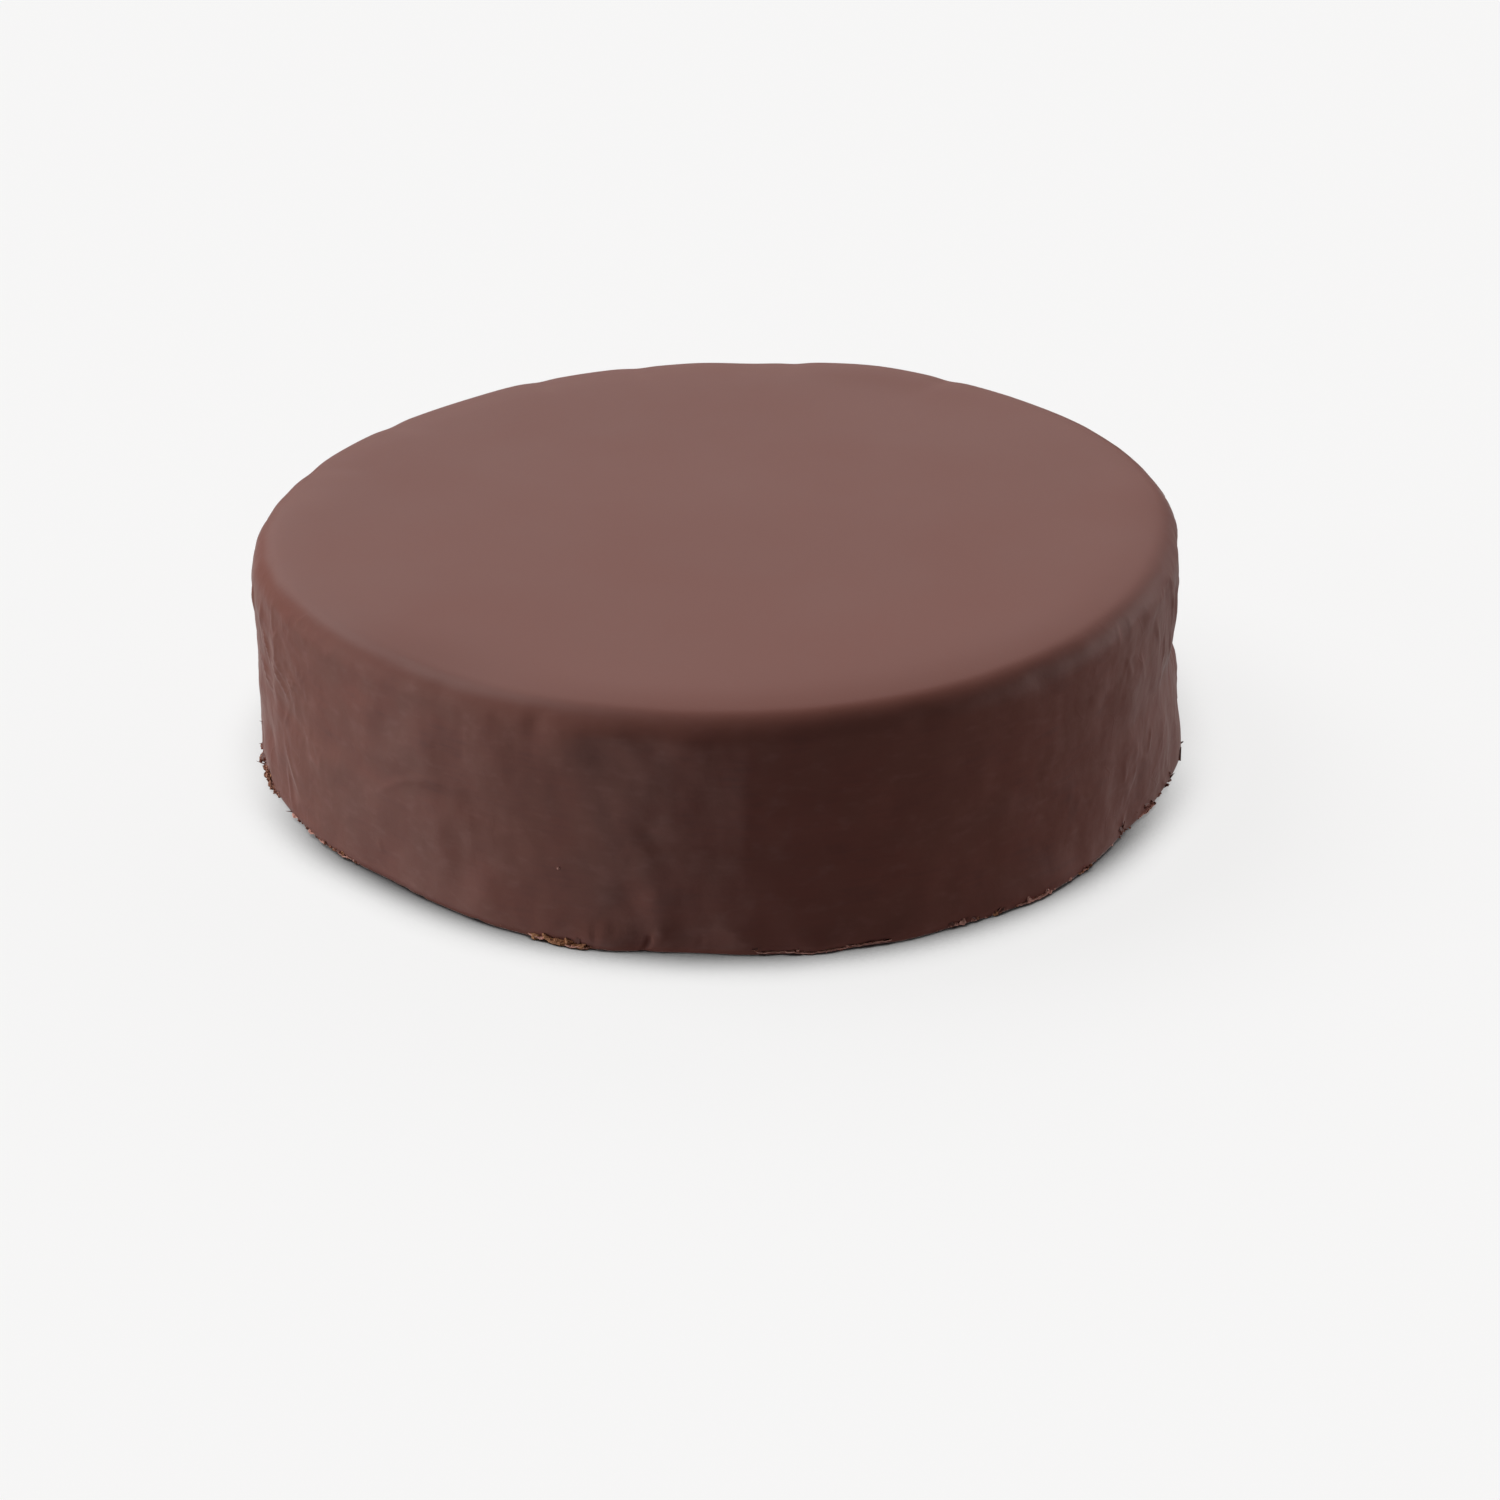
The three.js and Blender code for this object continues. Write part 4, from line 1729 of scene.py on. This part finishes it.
@dataclass
class Splinters:
    """Thin pointed splinters that stand out from the broken foot."""

    drum: GlazedDrum
    splinters: tuple[Splinter, ...] = (
        Splinter(188.6, 12.4, 0.9, 20, 30),
        Splinter(189.2, 6.4, 1.0, -25, 10),
        Splinter(190.2, 1.8, 2.4, -20, 12),
        Splinter(191.2, 3.2, 1.3, 30, 50),
        Splinter(194.2, 3.4, 1.3, 15, 35),
        Splinter(203.3, 1.3, 1.6, -15, 8),
        Splinter(208.0, 1.0, 1.1, 30, 15),
        Splinter(216.2, 0.9, 1.4, -30, 10),
        Splinter(296.4, 0.9, 1.2, 40, 25),
        Splinter(315.7, 0.9, 1.8, 40, 15, 0.55),
        Splinter(325.0, 1.6, 3.0, 50, 76, 0.55),
        Splinter(326.2, 1.2, 1.4, -30, 20, 0.45),
        Splinter(331.5, 2.2, 1.3, 20, 35),
        Splinter(339.0, 1.0, 1.9, -35, 30, 0.7),
        Splinter(341.2, 1.4, 1.6, 20, 50, 0.5),
        Splinter(346.4, 1.5, 2.6, 78, 62, 0.6),
        Splinter(351.0, 1.0, 1.7, 30, 15, 0.6),
        Splinter(18.0, 1.3, 1.4, 30, 20),
        Splinter(49.0, 1.2, 1.3, -35, 15),
        Splinter(83.0, 1.1, 1.2, 20, 30),
        Splinter(118.0, 1.4, 1.4, -20, 15),
        Splinter(149.0, 1.6, 1.5, 30, 25),
        Splinter(170.0, 1.5, 1.3, -30, 20),
    )
    root: float = 0.6
    taper: float = 0.85
    flatness: float = 0.6
    snapped: float = 0.5
    steps: int = 4
    curl: float = 0.25
    sides: int = 5
    seed: int = 61

    def paths(self) -> bpy.types.Mesh:
        """Lay the middle line of every splinter, from inside the wall to its tip.

        Returns:
            A mesh of points and edges, whose points carry their width.
        """
        draws = Draws(self.seed)
        points = []
        edges = []
        widths = []
        for splinter in self.splinters:
            out = math.radians(splinter.angle)
            heading = math.radians(splinter.angle + splinter.swing)
            tip = math.radians(splinter.tip)
            start = self.drum.wall(splinter.angle, splinter.climb)
            curl = draws.between((-self.curl, self.curl)) * splinter.length
            for step in range(self.steps + 1):
                share = step / self.steps
                run = share * (splinter.length + self.root) - self.root
                level = max(splinter.climb + run * math.sin(tip) + curl * share**2, splinter.width)
                x = start * math.cos(out) + run * math.cos(tip) * math.cos(heading)
                y = start * math.sin(out) + run * math.cos(tip) * math.sin(heading)
                points.append((x, y, level))
                widths.append(splinter.width * (1 - self.taper * share))
                if step:
                    edges.append((len(points) - 2, len(points) - 1))
        mesh = bpy.data.meshes.new("splinter_paths")
        mesh.from_pydata(np.array(points) * MM, edges, [])
        add_attribute(mesh, "width", np.array(widths) * MM)
        return mesh

    def recipe(self) -> Recipe:
        """Build the tree that gives each line its tapered body.

        Returns:
            The recipe.
        """
        made = Recipe("Splinters")
        graph = made.graph
        flatness = made.size("Flatness", self.flatness)
        curve = graph.add("GeometryNodeMeshToCurve", {0: made.entry.outputs[0]})
        circle = graph.add("GeometryNodeCurvePrimitiveCircle", {"Resolution": self.sides, "Radius": 1.0})
        scale = made.vector(1.0, flatness, 1.0)
        profile = graph.add("GeometryNodeTransform", {"Geometry": circle.outputs[0], "Scale": scale})
        inputs = {"Curve": curve.outputs[0], "Profile Curve": profile.outputs[0], "Fill Caps": True}
        inputs["Scale"] = made.attribute("width")
        made.close(graph.add("GeometryNodeCurveToMesh", inputs).outputs[0])
        return made

    def build(self, finish: bpy.types.Material) -> bpy.types.Mesh:
        """Make the splinters.

        Args:
            finish: The broken glaze.

        Returns:
            The mesh, in metres, about the drum's own axis.
        """
        mesh = self.recipe().bake(self.paths(), finish)
        add_attribute(mesh, "edge", np.full(len(mesh.vertices), self.snapped))
        return mesh


# ------------------------------------------------------------------ crumbs


@dataclass(frozen=True)
class CrumbPatch:
    """A stretch of the foot with crumbs lying along it."""

    start: float
    end: float
    crumbs: int
    size: Span


@dataclass(frozen=True)
class Crumb:
    """A single crumb that sticks to the side."""

    angle: float
    climb: float
    size: float


SPONGE_PATCHES = (
    CrumbPatch(187, 192, 14, (0.6, 1.9)),
    CrumbPatch(193, 197, 12, (0.7, 1.9)),
    CrumbPatch(196, 199, 6, (0.5, 1.2)),
    CrumbPatch(203, 207, 6, (0.5, 1.3)),
    CrumbPatch(210, 219, 14, (0.4, 1.3)),
    CrumbPatch(292, 310, 8, (0.4, 0.9)),
    CrumbPatch(324, 343, 12, (0.5, 1.3)),
    CrumbPatch(343, 540, 46, (0.4, 1.1)),
)
SPONGE_CRUMBS = (
    Crumb(190.0, 3.6, 1.6),
    Crumb(193.9, 2.6, 3.0),
    Crumb(194.7, 2.9, 2.8),
    Crumb(195.3, 1.6, 2.4),
    Crumb(192.9, 3.4, 1.8),
    Crumb(194.3, 3.9, 1.7),
    Crumb(207.8, 0.7, 1.2),
    Crumb(212.7, 1.2, 1.2),
)
BAKED_PATCHES = (
    CrumbPatch(246.5, 254.5, 16, (0.35, 0.7)),
    CrumbPatch(214, 218, 4, (0.4, 0.9)),
    CrumbPatch(306, 309.5, 7, (0.4, 0.9)),
    CrumbPatch(314, 317, 5, (0.4, 0.9)),
    CrumbPatch(20, 26, 9, (0.4, 1.2)),
    CrumbPatch(92, 99, 12, (0.5, 1.3)),
    CrumbPatch(142, 147, 8, (0.4, 1.1)),
)
BAKED_CRUMBS = (
    Crumb(300.8, 0.9, 1.5),
    Crumb(316.6, 0.9, 0.9),
    Crumb(195.0, 3.4, 0.9),
    Crumb(216.3, 1.1, 1.3),
)
GLAZE_PATCHES = (
    CrumbPatch(247, 254, 6, (0.35, 0.7)),
    CrumbPatch(276.5, 279, 6, (0.4, 0.9)),
    CrumbPatch(280, 283, 5, (0.4, 0.7)),
    CrumbPatch(294.5, 297, 5, (0.4, 1.0)),
    CrumbPatch(297, 304, 7, (0.3, 0.6)),
    CrumbPatch(304.5, 308.8, 15, (0.6, 1.3)),
    CrumbPatch(309, 323, 9, (0.3, 0.8)),
    CrumbPatch(205, 220, 12, (0.3, 0.8)),
    CrumbPatch(350, 530, 40, (0.3, 0.9)),
)
GLAZE_CRUMBS = (
    Crumb(250.6, 19.6, 0.9),
    Crumb(295.6, 1.0, 1.4),
    Crumb(296.4, 1.2, 1.9),
    Crumb(305.4, 1.4, 1.4),
    Crumb(306.6, 1.0, 1.1),
    Crumb(277.2, 1.3, 1.0),
    Crumb(308.2, 1.5, 1.4),
    Crumb(312.4, 0.9, 1.1),
    Crumb(315.2, 1.1, 1.3),
)


@dataclass
class LooseCrumbs:
    """Crumbs of one kind that lie against the foot or stick to the side."""

    drum: GlazedDrum
    patches: tuple[CrumbPatch, ...]
    crumbs: tuple[Crumb, ...]
    seed: int
    gap: Span = (-0.2, 0.4)
    rise: Span = (0.0, 0.9)
    sunk: float = 0.05
    roughness: float = 0.35
    form_size: float = 0.45
    divisions: int = 2
    squat: tuple[float, float, float] = (0.7, 0.7, 0.6)
    full: tuple[float, float, float] = (1.1, 1.0, 0.8)
    spacing: Span = (0.1, 0.9)
    settled: float = 0.45
    turn_most: float = 6.28
    snapped: float = 0.7

    def spots(self) -> bpy.types.Mesh:
        """Choose where each crumb lies and how large it is.

        Returns:
            A mesh of single points that carry a size.
        """
        draws = Draws(self.seed)
        points = []
        sizes = []
        for patch in self.patches:
            for index in range(patch.crumbs):
                share = (index + draws.between(self.spacing)) / patch.crumbs
                angle = patch.start + (patch.end - patch.start) * share
                size = draws.between(patch.size)
                rise = size * self.settled + draws.between(self.rise) * draws.next()
                reach = self.drum.wall(angle, rise) + size * draws.between(self.gap)
                points.append(place_at(angle, reach, rise))
                sizes.append(size)
        for crumb in self.crumbs:
            reach = self.drum.wall(crumb.angle, crumb.climb) + crumb.size * self.sunk
            points.append(place_at(crumb.angle, reach, crumb.climb))
            sizes.append(crumb.size)
        mesh = bpy.data.meshes.new("crumb_spots")
        mesh.from_pydata(np.array(points) * MM, [], [])
        add_attribute(mesh, "size", np.array(sizes) * MM)
        return mesh

    def recipe(self) -> Recipe:
        """Build the tree that puts a crumb at each point and gives each its own form.

        Returns:
            The recipe.
        """
        made = Recipe("LooseCrumbs")
        graph = made.graph
        rough = made.size("Crumb Roughness", self.roughness)
        form_size = made.size("Form Size", self.form_size * MM)
        seed = made.seed(self.seed)
        size = made.attribute("size")
        lump = graph.add("GeometryNodeMeshIcoSphere", {"Radius": 0.5, "Subdivisions": self.divisions})
        turn_inputs = {0: (0.0, 0.0, 0.0), 1: (self.turn_most,) * 3, "Seed": seed}
        turn = graph.add("FunctionNodeRandomValue", turn_inputs, data_type="FLOAT_VECTOR")
        stretch_inputs = {0: self.squat, 1: self.full, "Seed": seed}
        stretch = graph.add("FunctionNodeRandomValue", stretch_inputs, data_type="FLOAT_VECTOR")
        inputs = {0: stretch.outputs[0], "Scale": size}
        scale = graph.add("ShaderNodeVectorMath", inputs, operation="SCALE")
        inputs = {0: made.entry.outputs[0], "Name": "bulk", "Value": size}
        stored = graph.add("GeometryNodeStoreNamedAttribute", inputs, data_type="FLOAT")
        inputs = {"Points": stored.outputs[0], "Instance": lump.outputs[0]}
        inputs |= {"Rotation": turn.outputs[0], "Scale": scale.outputs[0]}
        placed = graph.add("GeometryNodeInstanceOnPoints", inputs)
        real = graph.add("GeometryNodeRealizeInstances", {0: placed.outputs[0]})
        spot = graph.moved(made.place(), made.vector(0, 0, seed))
        pushed = graph.sway(spot, form_size, made.attribute("bulk") * rough)
        moved = graph.add("GeometryNodeSetPosition", {0: real.outputs[0], "Offset": pushed})
        made.close(moved.outputs[0])
        return made

    def build(self, finish: bpy.types.Material) -> bpy.types.Mesh:
        """Make the crumbs.

        Args:
            finish: What they are made of.

        Returns:
            The mesh, in metres, about the drum's own axis.
        """
        mesh = self.recipe().bake(self.spots(), finish)
        add_attribute(mesh, "edge", np.full(len(mesh.vertices), self.snapped))
        return mesh


# ------------------------------------------------------------------ the baked base


@dataclass
class BakedBase:
    """The bare underside: a slab of sponge inside the narrow edge of glaze."""

    drum: GlazedDrum
    inset: float = 1.2
    thick: float = 2.4
    points_round: int = 480
    ring_pitch: float = 1.6
    least_points: int = 30
    pore_size: float = 3.2
    pore_depth: float = 0.55
    pore_share: float = 2.0
    seed: int = 3

    def blank(self) -> bpy.types.Mesh:
        """Make the slab with a flat underside.

        Returns:
            The mesh, whose points carry how far they may sink.
        """
        turns = np.arange(self.points_round) * 2 * math.pi / self.points_round
        edge = np.array([self.drum.wall(math.degrees(turn), 0) - self.inset for turn in turns])
        outline = np.column_stack([edge * np.cos(turns), edge * np.sin(turns)])
        steps = round(self.drum.radius / self.ring_pitch)
        shares = [step / steps for step in range(1, steps + 1)]
        rings = [(0.0, 0.0, 1)]
        for share in shares:
            rings.append((share, 0.0, self._points_at(share)))
        rings += [(1.0, self.thick, self.points_round), (0.5, self.thick, self.points_round // 2)]
        rings.append((0.0, self.thick, 1))
        points = []
        numbers = []
        total = 0
        for share, level, count in rings:
            every = self.points_round // count
            flat = outline[::every] * share
            points.append(np.column_stack([flat, np.full(count, level)]))
            numbers.append(np.arange(total, total + count))
            total += count
        faces = [stitch(first, second) for first, second in zip(numbers, numbers[1:])]
        stacked = np.concatenate(points)
        mesh = bpy.data.meshes.new("base_blank")
        mesh.from_pydata(stacked * MM, [], np.concatenate(faces))
        add_attribute(mesh, "under", (stacked[:, 2] < self.thick / 2).astype(float))
        return mesh

    def _points_at(self, share: float) -> int:
        """Choose how many points a ring of the underside needs.

        Args:
            share: How far out the ring lies, from 0 to 1.

        Returns:
            The number of points.
        """
        count = self.points_round
        while count > self.least_points and share * self.points_round < count / 2:
            count //= 2
        return count

    def recipe(self) -> Recipe:
        """Build the tree that opens the pores of the underside.

        Returns:
            The recipe.
        """
        made = Recipe("BakedBase")
        graph = made.graph
        pore_size = made.size("Pore Size", self.pore_size * MM)
        pore_depth = made.size("Pore Depth", self.pore_depth * MM)
        spot = made.seeded_place(self.seed)
        pores = graph.noise(spot, pore_size, 3.0).at_least(0.0) * pore_depth * self.pore_share
        sunk = pores.at_most(pore_depth) * made.attribute("under")
        inputs = {0: made.entry.outputs[0], "Offset": made.vector(0, 0, sunk)}
        made.close(graph.add("GeometryNodeSetPosition", inputs).outputs[0])
        return made

    def build(self, finish: bpy.types.Material) -> bpy.types.Mesh:
        """Make the slab about the drum's own axis, in metres."""
        return self.recipe().bake(self.blank(), finish)


# ------------------------------------------------------------------ the torte


class Torte:
    """All pieces of the torte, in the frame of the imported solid."""

    def __init__(self) -> None:
        """Make every piece about the drum's own axis and move them all into the frame."""
        broken = BrokenFinish().make()
        # The torn glaze's pale pink is partly the colour of its dry torn edge and partly a painted
        # highlight: it is brighter than the broken glaze so that it shows bright where it lies in dim
        # light.
        torn = BrokenFinish("torn_glaze_painted_glint", (0.46, 0.210, 0.165), (0.70, 0.360, 0.290), 0.8).make()
        # Each set of tones is the crumb, the baked crust and the painted shade in the pores.
        crumb_tones = ((0.24, 0.075, 0.045), (0.42, 0.190, 0.110), (0.10, 0.035, 0.022))
        baked_tones = ((0.33, 0.130, 0.060), (0.47, 0.215, 0.095), (0.20, 0.075, 0.040))
        crumb_finish = SpongeFinish("sponge_crumb", *crumb_tones).make()
        baked_finish = SpongeFinish("baked_crust", *baked_tones).make()
        self.drum = drum = GlazedDrum()
        self.meshes: dict[str, bpy.types.Mesh] = {"glazed_drum": drum.build(GlazeFinish().make())}
        chips = BrokenHem(drum).build({Matter.GLAZE: broken, Matter.CRUST: baked_finish})
        self.meshes["glaze_chips"] = chips[Matter.GLAZE]
        self.meshes["crust_chips"] = chips[Matter.CRUST]
        self.meshes["torn_lips"] = TornLips(drum, GLAZE_LIPS).build(torn)
        strips = TornLips(drum, CRUST_STRIPS, width=1.3, thick=0.6, tear_size=0.9, tear_reach=0.3)
        self.meshes["crust_strips"] = strips.build(baked_finish)
        self.meshes["splinters"] = Splinters(drum).build(broken)
        kinds = {
            "sponge_crumbs": (SPONGE_PATCHES, SPONGE_CRUMBS, 77, crumb_finish),
            "baked_crumbs": (BAKED_PATCHES, BAKED_CRUMBS, 78, baked_finish),
            "glaze_crumbs": (GLAZE_PATCHES, GLAZE_CRUMBS, 79, torn),
        }
        for name, (patches, crumbs, seed, finish) in kinds.items():
            self.meshes[name] = LooseCrumbs(drum, patches, crumbs, seed).build(finish)
        self.meshes["baked_base"] = BakedBase(drum).build(SpongeFinish().make())
        self.shift = self._move_into_frame()

    def _move_into_frame(self) -> np.ndarray:
        """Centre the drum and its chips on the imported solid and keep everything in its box.

        Returns:
            Where the drum's axis is in the frame, in metres.
        """
        low, high = (np.array(corner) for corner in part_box(CAKE_NODE))
        outline = np.concatenate(
            [points_of(self.meshes[name]) for name in ("glazed_drum", "glaze_chips", "crust_chips")]
        )
        shift = (low + high - outline.min(axis=0) - outline.max(axis=0)) / 2
        shift[2] = 0.0
        LOG.info("drum's axis at x %.2f mm, y %.2f mm", *(shift[:2] / MM))
        for name, mesh in self.meshes.items():
            points = points_of(mesh) + shift
            kept = np.clip(points, low, high)
            LOG.info("%s: moved in by up to %.2f mm", name, np.abs(points - kept).max() / MM)
            move_points(mesh, kept)
        return shift

    def assemble(self) -> None:
        """Make the pieces, with the glazed drum in place of the solid."""
        slots = {
            "glazed_drum": Slot.GLAZE,
            "glaze_chips": Slot.BROKEN,
            "crust_chips": Slot.SPONGE,
            "torn_lips": Slot.BROKEN,
            "crust_strips": Slot.SPONGE,
            "splinters": Slot.BROKEN,
            "sponge_crumbs": Slot.SPONGE,
            "baked_crumbs": Slot.SPONGE,
            "glaze_crumbs": Slot.BROKEN,
            "baked_base": Slot.SPONGE,
        }
        smooth = {"glazed_drum", "baked_base"}
        for name, slot in slots.items():
            piece = finish_piece(self.meshes[name], name, name in smooth)
            if name == "glazed_drum":
                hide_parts(CAKE_NODE)


# ------------------------------------------------------------------ the studio


@dataclass(frozen=True)
class Lamp:
    """A wide soft light far away: where it stands, how wide it looks and how strong it is.

    The strength is what it adds to a white surface that faces it, 1 being full white. The distance,
    in metres, is only where it hangs.
    """

    name: str
    azimuth: float
    elevation: float
    strength: float
    colour: Colour = (1.0, 1.0, 1.0)
    spread: float = 34.0
    distance: float = 3.0

    def make(self) -> None:
        """Hang the lamp."""
        data = bpy.data.lights.new(self.name, "SUN")
        data.angle = math.radians(self.spread)
        data.energy = self.strength * math.pi
        data.color = self.colour
        lamp = bpy.data.objects.new(self.name, data)
        turn = math.radians(self.azimuth)
        rise = math.radians(self.elevation)
        away = Vector((math.cos(turn) * math.cos(rise), math.sin(turn) * math.cos(rise), math.sin(rise)))
        lamp.rotation_euler = away.to_track_quat("Z", "Y").to_euler()
        lamp.location = away * self.distance
        bpy.context.scene.collection.objects.link(lamp)


@dataclass(frozen=True)
class Viewpoint:
    """Where the camera stands, in millimetres from the drum's axis, and how it is turned."""

    place: tuple[float, float, float] = (0.0, -818.63, 404.88)
    yaw: float = -0.4286
    pitch: float = 26.759
    roll: float = -0.9589
    lens: float = 81.91
    sensor: float = 36.0

    def make(self, shift: np.ndarray) -> None:
        """Set up the camera.

        Args:
            shift: Where the drum's axis is in the frame, in metres.
        """
        data = bpy.data.cameras.new("viewpoint")
        data.lens = self.lens
        data.sensor_width = self.sensor
        camera = bpy.data.objects.new("viewpoint", data)
        level = Matrix.Rotation(math.radians(self.yaw), 4, "Z") @ Matrix.Rotation(math.pi / 2, 4, "X")
        turned = level @ Matrix.Rotation(-math.radians(self.pitch), 4, "X")
        turned = turned @ Matrix.Rotation(math.radians(self.roll), 4, "Z")
        camera.matrix_world = Matrix.Translation(Vector(self.place) * MM + Vector(shift)) @ turned
        bpy.context.scene.collection.objects.link(camera)
        bpy.context.scene.camera = camera


@dataclass(frozen=True)
class Studio:
    """A plain pale floor and soft light, dim from the front."""

    lamps: tuple[Lamp, ...] = (
        Lamp("right_front_low", 0.0, 10.0, 0.252, (1.02, 0.99, 0.99)),
        Lamp("right_low", 30.0, 10.0, 0.285, (1.04, 0.99, 0.98)),
        Lamp("left_low", 180.0, 10.0, 0.346, (0.90, 1.0, 1.01)),
        Lamp("right_panel", 60.0, 28.0, 0.143),
        Lamp("back_right", 90.0, 28.0, 0.159),
        Lamp("back_left", 120.0, 28.0, 0.241),
        Lamp("back_high", 150.0, 48.0, 0.664),
        Lamp("right_bounce", 30.0, -25.0, 0.044),
        Lamp("right_rear_bounce", 60.0, -25.0, 0.041),
        Lamp("left_rear_bounce", 120.0, -25.0, 0.072),
        Lamp("left_bounce", 180.0, -25.0, 0.205, (0.91, 1.0, 1.01)),
        Lamp("front_bounce", 240.0, -25.0, 0.235, (0.98, 0.98, 1.01)),
    )
    background: Colour = (0.93, 0.93, 0.94)
    floor_reach: float = 30.0

    def make(self) -> None:
        """Lay the floor and set the light."""
        for lamp in self.lamps:
            lamp.make()
        self._lay_floor()
        self._set_world()
        bpy.context.scene.view_settings.view_transform = "Standard"

    def _lay_floor(self) -> None:
        """Lay a floor that only the camera sees, as the lamps below it stand for its own light."""
        reach = self.floor_reach
        corners = [(-reach, -reach, 0), (reach, -reach, 0), (reach, reach, 0), (-reach, reach, 0)]
        mesh = bpy.data.meshes.new("floor")
        mesh.from_pydata(corners, [], [(0, 1, 2, 3)])
        mesh.materials.append(FloorFinish().make())
        floor = bpy.data.objects.new("floor", mesh)
        floor.visible_diffuse = False
        floor.visible_glossy = False
        floor.visible_shadow = False
        bpy.context.scene.collection.objects.link(floor)

    def _set_world(self) -> None:
        """Show the room pale past the floor's end, and let it give no light."""
        world = bpy.data.worlds.new("studio")
        world.use_nodes = True
        bpy.context.scene.world = world
        graph = Graph(world.node_tree)
        seen = graph.add("ShaderNodeLightPath").outputs["Is Camera Ray"]
        pale = graph.add("ShaderNodeBackground", {"Color": opaque(self.background), "Strength": seen})
        graph.add("ShaderNodeOutputWorld", {0: pale.outputs[0]})


def main() -> None:
    """Build the torte and its studio, and report each piece."""
    logging.basicConfig(level=logging.INFO, format="%(name)s: %(message)s")
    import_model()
    torte = Torte()
    torte.assemble()
    Studio().make()
    Viewpoint().make(torte.shift)
    bpy.context.view_layer.update()


if __name__ == "__main__":
    main()
